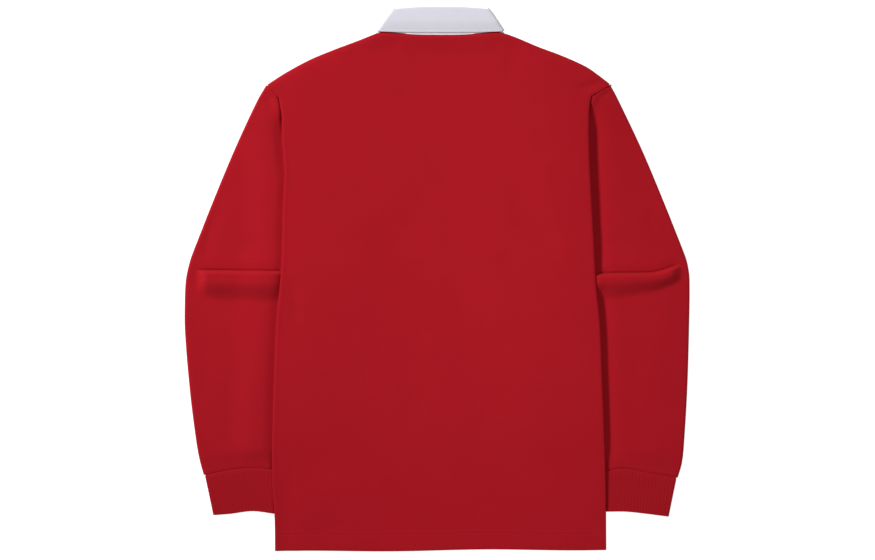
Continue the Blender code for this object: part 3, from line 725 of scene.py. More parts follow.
def body_shares(side, neck_columns, outer_columns):
    """Where the columns of a body panel stand, from its middle to its side."""
    neck = neck_share(side)
    inner = spread(0.0, SLOT_SHARE, SLOT_COLUMNS)
    inner += spread(SLOT_SHARE, neck, neck_columns - SLOT_COLUMNS)
    return inner + spread(neck, 1.0, outer_columns) + [1.0]


def body_grid(face, below, above, neck_columns, outer_columns):
    """Rows of points across a body panel; None where a row has no such column."""
    rows_of = {side: body_rows(side, below, above) for side in SIGN}
    shares_of = {side: body_shares(side, neck_columns, outer_columns) for side in SIGN}
    grid = []
    for row in range(len(rows_of["left"])):
        halves = {}
        for side in SIGN:
            row_y = rows_of[side][row]
            flat = [panel_point(face, side, share, row_y) for share in shares_of[side]]
            turned = turned_side(face, side, row_y)
            if row_y > ARMHOLE_BREAK[side].y:
                turned = [None] * len(turned)
            halves[side] = flat + turned
        grid.append(halves["left"][:0:-1] + halves["right"])
    turned_count = len(turned_side(face, "left", 0.0))
    turns = {
        side: [
            shoulder_turn(face, side, share) if column >= neck_columns else None
            for column, share in enumerate(shares_of[side])
        ]
        for side in SIGN
    }
    for step in range(SHOULDER_STEPS):
        halves = {
            side: [turn[step] if turn else None for turn in turns[side]] + [None] * turned_count
            for side in SIGN
        }
        grid.append(halves["left"][:0:-1] + halves["right"])
    return grid


def crease_y(side, x, inner_x, outer_x):
    crease = ELBOW[side]
    return mix(crease.inner_y, crease.outer_y, (x - inner_x) / (outer_x - inner_x))


def elbow_relief(side, x, y, inner_x, outer_x):
    """The elbow's crease, the ridge below it and the groove between them."""
    crease = ELBOW[side]
    share = (x - inner_x) / (outer_x - inner_x)
    hook = crease.hook * smooth(0.55, 1.0, share) ** 1.2
    below = crease_y(side, x, inner_x, outer_x) + hook - y
    height = mix(crease.inner_height, crease.outer_height, share)
    fall = mix(crease.inner_fall, crease.outer_fall, smooth(0.0, 0.8, share))
    above = ABOVE_CREASE * smooth(-ABOVE_REACH, -3.0, below) * (1.0 - share)
    rise = mix(above, height, smooth(-1.0, 3.4, below))
    ridge = rise * (1.0 - smooth(crease.crest, crease.crest + fall, below))
    trough = CREASE_DEPTH * smooth(-14.0, -2.0, below) * (1.0 - smooth(-2.0, 3.0, below))
    groove = GROOVE_DEPTH * bump(below + 0.5, GROOVE_WIDTH)
    return (ridge - trough - groove) * (1.0 - smooth(crease.end - CREASE_END, crease.end, x))


def sleeve_inner(side, y):
    """Distance from the middle of the body to the sleeve's inner edge."""
    if y > ARMHOLE_BREAK[side].y:
        past_corner = max(0.0, y - shoulder_corner(side).y)
        return armhole_seam(side, y) - SEAM_ALLOWANCE + 1.4 * past_corner
    if y > UNDERARM_Y:
        return side_seam(side, y)
    return body_fold(side, y) + curve(SLEEVE_INNER, y)


@lru_cache(maxsize=None)
def sleeve_frame(side, row_y):
    """The places across one row of the sleeve."""
    inner = sleeve_inner(side, row_y)
    outer = curve(SLEEVE_EDGE[side], row_y) - CLOTH / 2
    shown = max(inner + 1.0, body_fold(side, row_y) + 1.0)
    if row_y > ARMHOLE_BREAK[side].y:
        shown = inner + 0.6
    roll = min(3.0, (outer - shown) * 0.45)
    return inner, shown, outer, roll


def cuff_seam_y(side, x):
    return curve(CUFF_SEAM[side], x)


def row_shift(side, x, row_y, inner, outer):
    """How far a row bends to follow the elbow's crease and, at its end, the cuff's seam."""
    level = (ELBOW[side].inner_y + ELBOW[side].outer_y) / 2
    at_elbow = smooth(-60.0, -10.0, row_y) * (1.0 - smooth(30.0, 70.0, row_y))
    elbow = (crease_y(side, x, inner, outer) - level) * at_elbow
    seam = cuff_seam_y(side, x) + SEAM_GAP
    at_cuff = 1.0 - smooth(SLEEVE_END, -205.0, row_y)
    return elbow + (seam - SLEEVE_END) * at_cuff


def beside_body(side, x, y, out, inner_x, outer_x):
    """Height of the sleeve beside the body: a soft rise on the left, a dip on the right."""
    if side == "left":
        near = 1.0 - min(1.0, max(0.0, out / RISE_OUT))
        return RISE_HEIGHT * (1.0 - near ** 2) * (1.0 - smooth(RISE_OUT + 3.0, 65.0, out))
    width = 3.4 if out < VALLEY_OUT else 11.0
    below = crease_y(side, x, inner_x, outer_x) - y
    at_ridge = smooth(-4.0, 4.0, below) * (1.0 - smooth(10.0, 26.0, below))
    return -VALLEY_DEPTH * bump(out - VALLEY_OUT, width) * (1.0 - 0.8 * at_ridge)


def tip_closing(side, row_y):
    """0 on the sleeve and 1 at its tip by the shoulder, where its two walls meet."""
    high = shoulder_corner(side).y
    return smooth(high - 4.5, high + SLEEVE_TIP, row_y)


def sleeve_front_level(side, x, row_y, y):
    """Height of the sleeve's lower wall: over the turned-in body, then down to the floor."""
    out = x - body_fold(side, row_y)
    low = ARMHOLE_BREAK[side].y
    over_body = SLEEVE_FRONT_LEVEL - STRIP_END_SINK * (1.0 - fold_taper(side, row_y))
    if row_y > low:
        seam = armhole_seam(side, row_y)
        above = smooth(low + 0.4, low + 5.0, row_y)
        level = mix(over_body, FRONT_LEVEL + SEAM_SINK, above)
        level = mix(level, FRONT_LEVEL, smooth(seam + 0.9, seam + 4.0, x))
        return mix(level, SHOULDER_TIP_LEVEL - SHOULDER_TIP_HALF, tip_closing(side, row_y))
    clear = 1.0 - smooth(-262.0, -240.0, row_y)
    level = mix(over_body, FRONT_LEVEL, clear)
    level = mix(level, FRONT_LEVEL, smooth(0.0, 6.0, out))
    in_open = smooth(24.0, 34.0, out) * smooth(SLEEVE_END, -250.0, row_y)
    return level + max(0.0, creases(SLEEVE_FRONT_FOLDS[side], x, y)) * in_open


def sleeve_back_level(side, x, row_y, y, frame_row):
    """Height of the sleeve's upper wall, under the body's fold and in the open."""
    shown, outer = frame_row[1:3]
    low = ARMHOLE_BREAK[side].y
    out = x - body_fold(side, row_y)
    crown = smooth(0.0, 40.0, x - shown) * (1.0 - smooth(-40.0, 0.0, x - outer))
    open_level = SLEEVE_OPEN_LEVEL + SLEEVE_CROWN * crown
    open_level += SHOULDER_LIFT * smooth(190.0, low + 6.0, row_y)
    edge = fold_level("back", side, row_y)
    relief = elbow_relief(side, x, y, shown, outer) + creases(SLEEVE_BACK_FOLDS[side], x, y)
    relief += unevenness(SIGN[side] * x, y, 9.0)
    hidden = SLEEVE_BACK_LEVEL - STRIP_END_SINK * (1.0 - fold_taper(side, row_y))
    if row_y < low:
        at_cuff = 1.0 - smooth(SLEEVE_END, -235.0, row_y)
        near_seam = smooth(low - NEAR_SEAM[side], low, row_y)
        beside = mix(edge - SEAM_STEP[side], open_level, smooth(2.0, 15.0, out))
        open_level = mix(open_level, beside, near_seam)
        inner_level = mix(hidden, CUFF_INNER_LEVEL, at_cuff)
        open_level = mix(open_level, CUFF_HEIGHT - CUFF_WALL / 2, at_cuff)
        turn_end = mix(5.0, 1.6, min(1.0, 2.0 * near_seam))
        turn = smooth(mix(0.2, -1.5, at_cuff), mix(turn_end, 4.0, at_cuff), out)
        added = beside_body(side, x, y, out, shown, outer) * (1.0 - smooth(low - 36.0, low, row_y))
        added = (added + relief * smooth(0.0, 1.4, out)) * (1.0 - at_cuff)
        seam_dip = CUFF_SEAM_SINK * bump(y - cuff_seam_y(side, x), 1.8)
        return mix(inner_level, open_level, turn) + added - seam_dip
    seam = armhole_seam(side, row_y)
    rise_end = seam + 0.1 + SEAM_RISE[side]
    level = mix(hidden, edge - SEAM_SINK, smooth(low + 0.3, low + 4.0, row_y))
    level = mix(level, edge - SEAM_STEP[side], smooth(seam + 0.1, rise_end, x))
    level = mix(level, open_level + relief, smooth(rise_end, seam + 15.0, x))
    return mix(level, SHOULDER_TIP_LEVEL + SHOULDER_TIP_HALF, tip_closing(side, row_y))


def sleeve_row(side, row_y, open_count=40, roll_steps=10, hidden_steps=5):
    """Points round one row of the sleeve, from its front edge round to its back edge."""
    frame_row = sleeve_frame(side, row_y)
    inner, shown, outer, roll = frame_row
    flat_end = outer - roll
    across = spread(inner, shown, hidden_steps) + spread(shown, flat_end, open_count) + [flat_end]
    points = []

    def y_at(x):
        return row_y + row_shift(side, x, row_y, inner, outer)

    def add(x, z):
        points.append((SIGN[side] * x, y_at(x), z))

    for x in across:
        add(x, sleeve_front_level(side, x, row_y, y_at(x)))
    low = sleeve_front_level(side, flat_end, row_y, y_at(flat_end))
    high = sleeve_back_level(side, flat_end, row_y, y_at(flat_end), frame_row)
    for k in range(1, roll_steps):
        angle = -math.pi / 2 + math.pi * k / roll_steps
        add(flat_end + roll * math.cos(angle), mix(low, high, 0.5 + 0.5 * math.sin(angle)))
    for x in reversed(across):
        add(x, sleeve_back_level(side, x, row_y, y_at(x), frame_row))
    return points


def sleeve_rows(side):
    """Row heights of a sleeve, closest together at the elbow and at the cuff."""
    low = ARMHOLE_BREAK[side].y
    high = shoulder_corner(side).y
    below_seam = 235.0
    above_elbow = 62.0
    below_elbow = -46.0
    near_cuff = -236.0
    rows = spread(high + SLEEVE_TIP, low + 5.0, 14) + spread(low + 5.0, low - 2.5, 7)
    rows += spread(low - 2.5, below_seam, 6) + spread(below_seam, above_elbow, 52)
    rows += spread(above_elbow, below_elbow, 68) + spread(below_elbow, near_cuff, 56)
    return rows + spread(near_cuff, SLEEVE_END, 18) + [SLEEVE_END]


def collar_column_back(share):
    """Fold, seam and leaf edge of one collar column across the back, share out from the middle."""
    side = "right" if share >= 0 else "left"
    sign = SIGN[side]
    end = COLLAR_SIDES[side]
    k = abs(share)
    fold = (sign * end.fold.x * k, mix(COLLAR_FOLD_Y, end.fold.y, k ** 2.4))
    seam_x = end.seam.x * k
    seam = (sign * seam_x, neck_y("back", seam_x) + NECK_GAP)
    leaf = (sign * end.leaf.x * k, mix(COLLAR_LEAF_Y, end.leaf.y, k ** 3))
    return fold, seam, leaf


def collar_column_front(side, share):
    """Fold, seam and leaf edge of one collar column below, share of the way to the middle."""
    sign = SIGN[side]
    end = COLLAR_SIDES[side]
    x = max(COLLAR_END_X, mix(end.seam.x - 0.6, 0.0, share))
    step = 0.5
    slope = (neck_y("front", x + step) - neck_y("front", x - step)) / (2 * step)
    length = math.hypot(slope, 1.0)
    normal = (-slope / length, 1.0 / length)
    gap = mix(5.0, 1.5, smooth(0.0, 0.5, share)) * SEAM_GAP
    seam = (x + normal[0] * gap, neck_y("front", x) + normal[1] * gap)
    turn = smooth(0.0, 0.35, share)
    side_way = (end.fold.x - end.seam.x, end.fold.y - end.seam.y)
    side_length = math.hypot(*side_way)
    way = [mix(side_way[k] / side_length, normal[k], turn) for k in range(2)]
    way_length = math.hypot(*way)
    stand = mix(COLLAR_STAND_SIDE, COLLAR_STAND_FRONT, share)
    fold = [seam[k] + stand * way[k] / way_length for k in range(2)]
    fold[0] = max(fold[0], COLLAR_END_X)
    leaf = (
        mix(COLLAR_LEAF_START.x, COLLAR_TIP.x, share),
        mix(COLLAR_LEAF_START.y, COLLAR_TIP.y, share),
    )
    return tuple((sign * point[0], point[1]) for point in (fold, seam, leaf))


def collar_column(fold, seam, leaf, level, out, tilt, stand_steps=10, turn_steps=8, leaf_steps=22):
    """One column of the collar: up the stand, over the fold and down the leaf.

    tilt is pi/2 at the back, where the leaf lies above the stand, and -pi/2 at the front.
    """
    normal = (math.cos(tilt) * out[0], math.cos(tilt) * out[1], math.sin(tilt))
    half_gap = COLLAR_LEAF_GAP / 2

    def way_to(target):
        step = (target[0] - fold[0], target[1] - fold[1])
        length = math.hypot(*step)
        return (step[0] / length, step[1] / length), length

    def place(way, along, lift):
        return (
            fold[0] + way[0] * along + normal[0] * lift,
            fold[1] + way[1] * along + normal[1] * lift,
            level + normal[2] * lift,
        )

    stand_way, stand_length = way_to(seam)
    leaf_way, leaf_length = way_to(leaf)
    points = [
        place(stand_way, mix(stand_length, half_gap, k / stand_steps), 0.0)
        for k in range(stand_steps)
    ]
    for k in range(turn_steps + 1):
        angle = math.pi * k / turn_steps
        way = stand_way if angle < math.pi / 2 else leaf_way
        along = half_gap * (1 - math.sin(angle))
        points.append(place(way, along, half_gap * (1 - math.cos(angle))))
    at_back = max(0.0, math.sin(tilt))
    for k in range(1, leaf_steps + 1):
        share = k / leaf_steps
        crown = at_back * 0.7 * math.sin(math.pi * share) ** 0.8
        loose = smooth(0.0, 0.3, share) * (1.0 - smooth(0.7, 1.0, share))
        soft = at_back * 1.6 * unevenness(fold[0] * 2.4, share * 60.0, 14.0) * loose
        close = at_back * (COLLAR_LEAF_GAP - COLLAR_EDGE_GAP) * smooth(0.5, 1.0, share)
        lift = COLLAR_LEAF_GAP - close + crown + soft
        points.append(place(leaf_way, mix(half_gap, leaf_length, share), lift))
    return points


def collar_grid(back_steps=56, turn_steps=12, front_steps=44):
    """Columns of the collar from its left end at the front, round the back, to its right end."""
    halves = {}
    for side, sign in SIGN.items():
        columns = []
        for k in range(1, back_steps // 2 + 1):
            marks = collar_column_back(sign * 2 * k / back_steps)
            columns.append(collar_column(*marks, BACK_NECK_LEVEL, (sign, 0.0), math.pi / 2))
        radius = (BACK_NECK_LEVEL - COLLAR_FRONT_LEVEL) / 2
        middle = (BACK_NECK_LEVEL + COLLAR_FRONT_LEVEL) / 2
        out = (sign * COLLAR_SIDE_OUT[0], COLLAR_SIDE_OUT[1])
        marks = collar_column_back(sign)
        for k in range(1, turn_steps):
            tilt = math.pi / 2 - math.pi * k / turn_steps
            reach = COLLAR_SIDE_REACH * math.cos(tilt)
            moved = [(x + out[0] * reach, y + out[1] * reach) for x, y in marks]
            level = middle + radius * math.sin(tilt)
            columns.append(collar_column(*moved, level, out, tilt))
        for k in range(front_steps + 1):
            marks = collar_column_front(side, k / front_steps)
            columns.append(collar_column(*marks, COLLAR_FRONT_LEVEL, (sign, 0.0), -math.pi / 2))
        halves[side] = columns
    marks = collar_column_back(0.0)
    middle_column = collar_column(*marks, BACK_NECK_LEVEL, (1.0, 0.0), math.pi / 2)
    return halves["left"][::-1] + [middle_column] + halves["right"]


def sleeve_end(side):
    """The sleeve's lower edge as the cuff's seam meets it: (x, y) out from the middle."""
    row = sleeve_row(side, SLEEVE_END)
    return sorted((abs(point[0]), point[1]) for point in row[:len(row) // 2])


def cuff_outline(inner, outer, position, depth):
    """A point round the cuff's flat tube, depth out from the middle of its thickness."""
    radius = CUFF_HEIGHT / 2
    flat = outer - inner - CUFF_HEIGHT
    if position < flat:
        return inner + radius + position, radius + depth
    if position < flat + math.pi * radius:
        angle = (position - flat) / radius
        return outer - radius + depth * math.sin(angle), radius + depth * math.cos(angle)
    if position < 2 * flat + math.pi * radius:
        return outer - radius - (position - flat - math.pi * radius), radius - depth
    angle = (position - 2 * flat - math.pi * radius) / radius
    return inner + radius - depth * math.sin(angle), radius - depth * math.cos(angle)


def cuff_ring(side, share, seam, inside):
    """One ring of the cuff, share of the way from its seam to its free edge."""
    hem = CUFF_HEM[side]
    inner = mix(sleeve_inner(side, SLEEVE_END), hem[0].x, share)
    outer = mix(curve(SLEEVE_EDGE[side], SLEEVE_END) - CUFF_STEP, hem[-1].x, share)
    around = 2 * (outer - inner - CUFF_HEIGHT) + math.pi * CUFF_HEIGHT
    count = RIB_COUNT * RIB_POINTS
    ends = smooth(0.0, 0.06, share) * (1.0 - smooth(0.97, 1.0, share))
    sunk = CUFF_SEAM_SINK * (1.0 - smooth(0.0, 0.045, share))
    points = []
    for k in range(count):
        rib = abs(math.sin(math.pi * k / RIB_POINTS)) ** 0.7
        groove = RIB_RELIEF * (1.0 - rib * (0.35 + 0.65 * ends)) + sunk
        depth = CUFF_HEIGHT / 2 - (CUFF_WALL if inside else groove)
        x, z = cuff_outline(inner, outer, around * k / count, depth)
        high = straight(seam, x) - SEAM_GAP
        low = curve(hem, x)
        points.append((SIGN[side] * x, mix(high, low, share), z))
    return points


def in_metres(point):
    return tuple(value * MM for value in point)


def add_object(name, vertices, faces, finish):
    mesh = bpy.data.meshes.new(name)
    mesh.from_pydata([in_metres(point) for point in vertices], [], faces)
    mesh.validate()
    mesh.update()
    mesh.shade_smooth()
    mesh.materials.append(finish)
    made = bpy.data.objects.new(name, mesh)
    bpy.context.scene.collection.objects.link(made)
    return made


def keep_places(piece, places):
    """Keeps each point's place on the flat cloth, so that the knit follows the grain."""
    attribute = piece.data.attributes.new("cloth", "FLOAT_VECTOR", "POINT")
    for k, (across, along) in enumerate(places):
        attribute.data[k].vector = (across * MM, along * MM, 0.0)


def grid_places(grid):
    """Distance across each row from its middle, and along the middle of the rows."""
    places = {}
    middle = len(grid[0]) // 2
    along = 0.0
    last_point = None
    for i, row in enumerate(grid):
        point = row[middle] or last_point
        if last_point is not None and row[middle] is not None:
            along += math.dist(point, last_point)
        last_point = point
        for way in (range(middle, len(row)), range(middle, -1, -1)):
            sign = 1.0 if way.step > 0 else -1.0
            across = 0.0
            before = None
            for j in way:
                if row[j] is None:
                    continue
                if before is not None:
                    across += math.dist(row[j], before)
                before = row[j]
                places[i, j] = (sign * across, along)
    return places


def cloth_from_grid(name, grid, thickness, finish, leave_out=None):
    """A cut piece: its middle surface from rows of points, with its thickness and round edges."""
    faces = []
    for i in range(len(grid) - 1):
        for j in range(len(grid[0]) - 1):
            corners = [(i, j), (i, j + 1), (i + 1, j + 1), (i + 1, j)]
            if any(grid[a][b] is None for a, b in corners):
                continue
            if leave_out and leave_out(i, j):
                continue
            faces.append(corners)
    used = sorted({corner for face in faces for corner in face})
    order = {corner: k for k, corner in enumerate(used)}
    places = grid_places(grid)
    piece = add_object(
        name,
        [grid[i][j] for i, j in used],
        [[order[corner] for corner in face] for face in faces],
        finish,
    )
    keep_places(piece, [places[corner] for corner in used])
    wall = piece.modifiers.new("thickness", "SOLIDIFY")
    wall.thickness = thickness * MM
    wall.offset = 0.0
    edges = piece.modifiers.new("round edges", "BEVEL")
    edges.width = EDGE_ROUND * MM
    edges.segments = 2
    edges.limit_method = "ANGLE"
    edges.angle_limit = math.radians(62)
    return piece


def set_trim(piece):
    """Joins a piece that stands for no solid to the body."""
    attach(piece, "root")


def set_piece(piece, node):
    """Joins a piece to the body in place of its solid, which it hides."""
    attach(piece, "root")
    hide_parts(node)
    return piece


def ring_faces(rings, sides):
    """Faces over rings of points that follow one another, with a flat face at each end."""
    faces = [list(range(sides))[::-1]]
    for ring in range(rings - 1):
        for k in range(sides):
            step = (k + 1) % sides
            low, high = ring * sides, (ring + 1) * sides
            faces.append([low + k, low + step, high + step, high + k])
    faces.append([(rings - 1) * sides + k for k in range(sides)])
    return faces


def capsule(start, middle, end, up, half, sides=6):
    """Points and faces of one stitch: a short round thread that dips into the cloth at its ends."""
    stations = (
        (start, 0.35, -0.5, 0.0), (start, 0.9, 0.0, 0.25), (middle, 1.0, 0.35, 0.0),
        (end, 0.9, 0.0, -0.25), (end, 0.35, -0.5, 0.0),
    )
    way = (Vector(end) - Vector(start)).normalized()
    up = Vector(up).normalized()
    across = way.cross(up).normalized()
    points = []
    for place, size, lift, shift in stations:
        middle_point = Vector(place) + up * (lift * half) + way * (shift * half * 2)
        for k in range(sides):
            angle = 2 * math.pi * k / sides
            ring = across * math.cos(angle) + up * math.sin(angle)
            points.append(tuple(middle_point + ring * (half * size)))
    return points, ring_faces(len(stations), sides)


def along_line(line, distance):
    """The point and its up direction at a distance along a line of (point, up) pairs."""
    for (start, start_up), (end, end_up) in zip(line, line[1:]):
        length = math.dist(start, end)
        if distance <= length:
            share = distance / length
            point = tuple(mix(a, b, share) for a, b in zip(start, end))
            return point, tuple(mix(a, b, share) for a, b in zip(start_up, end_up))
        distance -= length
    return line[-1]


def stitch_rows(name, lines, finish, stitch):
    """Rows of stitches along lines of (point, up) pairs, as one mesh."""
    vertices = []
    faces = []
    for line in lines:
        length = sum(math.dist(a[0], b[0]) for a, b in zip(line, line[1:]))
        pitch = stitch.length + stitch.space
        for k in range(int(length / pitch)):
            place, up = along_line(line, k * pitch)
            middle = along_line(line, k * pitch + stitch.length / 2)[0]
            end = along_line(line, k * pitch + stitch.length)[0]
            points, sides = capsule(place, middle, end, up, stitch.half)
            offset = len(vertices)
            vertices += points
            faces += [[offset + corner for corner in side] for side in sides]
    return add_object(name, vertices, faces, finish)


def hem_lines(face, steps=80):
    """The two rows of stitches over a panel's hem, on its outer face."""
    sign = 1.0 if face == "back" else -1.0
    lines = []
    for height in HEM_ROWS:
        for side in SIGN:
            line = []
            for k in range(steps + 1):
                share = k / steps
                up = height / (top_y(face, side, share) - HEM_Y)
                row_y = HEM_Y + up * (shoulder_corner(side).y - HEM_Y)
                x, y, z = panel_point(face, side, share, row_y)
                line.append(((x, y, z + sign * (CLOTH / 2 - 0.05)), (0.0, 0.0, sign)))
            lines.append(line)
    return lines


def make_body(jersey, thread):
    """The back and the front panel, each with its hem's stitches."""
    back = cloth_from_grid("back_cloth", body_grid("back", *BACK_GRID), CLOTH, jersey)
    front_grid = body_grid("front", *FRONT_GRID)
    first_row = body_rows("left", FRONT_GRID.below, FRONT_GRID.above).index(SLOT_ROW)
    middle = len(front_grid[0]) // 2

    def slot(i, j):
        return i >= first_row and middle - SLOT_COLUMNS <= j < middle + SLOT_COLUMNS

    front = cloth_from_grid("front_cloth", front_grid, CLOTH, jersey, leave_out=slot)
    sleeves = [f"sleeve_{side}_cloth" for side in SIGN]
    for face, piece, below in (("back", back, sleeves), ("front", front, [])):
        stitches = stitch_rows(f"{face}_hem_stitches", hem_lines(face), thread, HEM_STITCH)
        set_trim(stitches)
        set_piece(
            piece, face,
        )


def make_sleeve(side, jersey):
    grid = [sleeve_row(side, row_y) for row_y in sleeve_rows(side)]
    piece = cloth_from_grid(f"sleeve_{side}_cloth", grid, CLOTH, jersey)
    set_piece(piece, f"sleeve_{side}")


def make_cuff(side, rib):
    """A ribbed tube: ribs in its outer points, over a plain inside."""
    shares = [0.0, 0.012, 0.03] + spread(0.06, 0.95, 12) + [0.95, 0.975, 0.99, 1.0]
    seam = sleeve_end(side)
    rings = [cuff_ring(side, share, seam, False) for share in shares]
    rings += [cuff_ring(side, share, seam, True) for share in reversed(shares)]
    count = RIB_COUNT * RIB_POINTS
    vertices = [point for ring in rings for point in ring]
    faces = []
    for ring in range(len(rings)):
        after = (ring + 1) % len(rings)
        for k in range(count):
            step = (k + 1) % count
            low, high = ring * count, after * count
            corners = [low + k, low + step, high + step, high + k]
            faces.append(corners if side == "left" else corners[::-1])
    piece = add_object(f"cuff_{side}_cloth", vertices, faces, rib)
    heights = [CUFF_LENGTH * share for share in shares + shares[::-1]]
    width = CUTS["cuff"].width / MM
    keep_places(piece, [(width * k / count, height) for height in heights for k in range(count)])
    set_piece(piece, f"cuff_{side}")


def collar_edge_line(grid, inset):
    """A line of stitches near the leaf's edge, on its outer face."""
    line = []
    for column in grid:
        edge, before = column[-1], column[-5]
        length = math.dist(edge, before)
        point = [mix(a, b, inset / length) for a, b in zip(edge, before)]
        stand = column[4]
        up = Vector((0.0, 0.0, point[2] - stand[2]))
        if up.length < 0.4:
            up = Vector((point[0] - stand[0], point[1] - stand[1], 0.0))
        up = up.normalized()
        lifted = Vector(point) + up * (COLLAR_CLOTH / 2 - 0.05)
        line.append((tuple(lifted), tuple(up)))
    return line


def make_collar(twill, thread):
    grid = collar_grid()
    piece = cloth_from_grid("collar_cloth", grid, COLLAR_CLOTH, twill)
    line = collar_edge_line(grid, 5.0)
    stitches = stitch_rows("collar_stitches", [line], thread, TWILL_STITCH)
    set_trim(stitches)
    set_piece(
        piece, "collar"
    )


def placket_strip(low_row, share, sink, columns=6, steps=44):
    """Rows of points of a strip along the front's slot, sink below the front's middle."""
    high_row = shoulder_corner("right").y
    top = neck_y("front", 0.0) - 0.5
    grid = []
    for step in range(steps + 1):
        row_y = mix(low_row, high_row, step / steps)
        row = []
        for k in range(-columns, columns + 1):
            side = "left" if k < 0 else "right"
            x, y, z = panel_point("front", side, share * abs(k) / columns, row_y)
            row.append((x, min(y, top), z - sink))
        grid.append(row)
    return grid


def placket_edge_line(grid, inset, lift):
    """A line of stitches up one side of a strip, across its foot and up the other side."""
    rows = [row for row in grid if row[0][1] > grid[0][0][1] + inset]
    left = [(row[0][0] + inset, row[0][1], row[0][2] - lift) for row in rows]
    right = [(row[-1][0] - inset, row[-1][1], row[-1][2] - lift) for row in rows]
    return [(point, DOWN) for point in left[::-1] + right]


def make_placket(twill, thread):
    """The strip that fills the slot, and the strip that covers it outside."""
    inside = placket_strip(UNDER_FOOT, SLOT_SHARE * UNDER_STRIP, 0.0)
    under = cloth_from_grid("placket_under_cloth", inside, CLOTH, twill)
    set_piece(under, "placket_under")
    sink = CLOTH / 2 + SEAM_GAP + PLACKET_CLOTH / 2
    outside = placket_strip(OVER_FOOT, SLOT_SHARE * OVER_STRIP, sink)
    over = cloth_from_grid("placket_over_cloth", outside, PLACKET_CLOTH, twill)
    line = placket_edge_line(outside, 2.6, PLACKET_CLOTH / 2 - 0.05)
    stitches = stitch_rows("placket_stitches", [line], thread, TWILL_STITCH)
    set_trim(stitches)
    set_piece(
        over, "placket_over"
    )


def turned_disc(name, rings, finish, y, sides=BUTTON_SIDES):
    """A closed turned solid from rings of (radius, z), about an upright line at y."""
    vertices = []
    for radius, z in rings:
        for k in range(sides):
            angle = 2 * math.pi * k / sides
            vertices.append((radius * math.cos(angle), y + radius * math.sin(angle), z))
    return add_object(name, vertices, ring_faces(len(rings), sides), finish)


def make_button(button, pearl, thread):
    """A four-hole button with a raised rim, its outer face towards the floor."""
    radius = BUTTON_RADIUS
    top = FRONT_RAISE - SEAM_GAP - PLACKET_CLOTH - SEAM_GAP
    rings = (
        (radius - 2.1, 0.45), (radius - 1.7, 0.38), (radius - 1.3, 0.1), (radius - 0.9, 0.0),
        (radius - 0.5, 0.0), (radius - 0.15, 0.15), (radius, 0.5), (radius, top - 0.4),
        (radius - 0.12, top - 0.12), (radius - 0.4, top),
    )
    piece = turned_disc(f"{button.name}_disc", rings, pearl, button.y)
    angles = [button.turn + math.pi / 4 + math.pi / 2 * k for k in range(4)]
    holes = [(HOLE_OUT * math.cos(angle), HOLE_OUT * math.sin(angle)) for angle in angles]
    hole_rings = ((HOLE_RADIUS, -1.0), (HOLE_RADIUS, top + 1.0))
    cutters = []
    for x, y in holes:
        cutter = turned_disc("hole_cutter", hole_rings, pearl, 0.0, 14)
        cutter.data.transform(Matrix.Translation((x * MM, (button.y + y) * MM, 0.0)))
        cut = piece.modifiers.new("hole", "BOOLEAN")
        cut.operation = "DIFFERENCE"
        cut.object = cutter
        cutters.append(cutter)
    graph = bpy.context.evaluated_depsgraph_get()
    shaped = bpy.data.meshes.new_from_object(piece.evaluated_get(graph))
    piece.modifiers.clear()
    piece.data = shaped
    piece.data.set_sharp_from_angle(angle=math.radians(40))
    for cutter in cutters:
        bpy.data.objects.remove(cutter, do_unlink=True)
    lines = []
    for a, b, z in ((0, 2, 0.40), (1, 3, 0.24)):
        ends = [(holes[k][0], button.y + holes[k][1], z) for k in (a, b)]
        lines.append([(end, DOWN) for end in ends])
    stitch = Stitch(BUTTON_THREAD, math.dist(holes[0], holes[2]) - 0.05, 0.0)
    threads = stitch_rows(f"{button.name}_thread", lines, thread, stitch)
    set_trim(threads)
    set_piece(piece, button.name)


def make_floor():
    half = FLOOR_SIZE / 2
    signs = ((-1, -1), (1, -1), (1, 1), (-1, 1))
    corners = [(x * half, y * half, -FLOOR_DROP) for x, y in signs]
    floor = add_object("floor", corners, [[0, 1, 2, 3]], floor_material())


def add_node(tree, kind, settings=None, **sockets):
    """A node with its settings, and its inputs set or linked by name (spaces as underscores)."""
    node = tree.nodes.new(kind)
    for name, value in (settings or {}).items():
        setattr(node, name, value)
    for name, value in sockets.items():
        connect(tree, node.inputs[name.replace("_", " ")], value)
    return node


def connect(tree, socket, value):
    if isinstance(value, bpy.types.NodeSocket):
        tree.links.new(value, socket)
    else:
        socket.default_value = value


def calc(tree, operation, first, second=0.0, third=0.0):
    """The output of one Math node."""
    node = tree.nodes.new("ShaderNodeMath")
    node.operation = operation
    for socket, value in zip(node.inputs, (first, second, third)):
        connect(tree, socket, value)
    return node.outputs[0]


def new_group(name, inputs, outputs):
    """An empty shader group with its sockets, and its two end nodes."""
    tree = bpy.data.node_groups.new(name, "ShaderNodeTree")
    for socket_name, kind in inputs:
        tree.interface.new_socket(socket_name, in_out="INPUT", socket_type=f"NodeSocket{kind}")
    for socket_name, kind in outputs:
        tree.interface.new_socket(socket_name, in_out="OUTPUT", socket_type=f"NodeSocket{kind}")
    return tree, tree.nodes.new("NodeGroupInput").outputs, tree.nodes.new("NodeGroupOutput").inputs


def place_group(tree, group, **sockets):
    node = tree.nodes.new("ShaderNodeGroup")
    node.node_tree = group
    for name, value in sockets.items():
        connect(tree, node.inputs[name.replace("_", " ")], value)
    return node.outputs


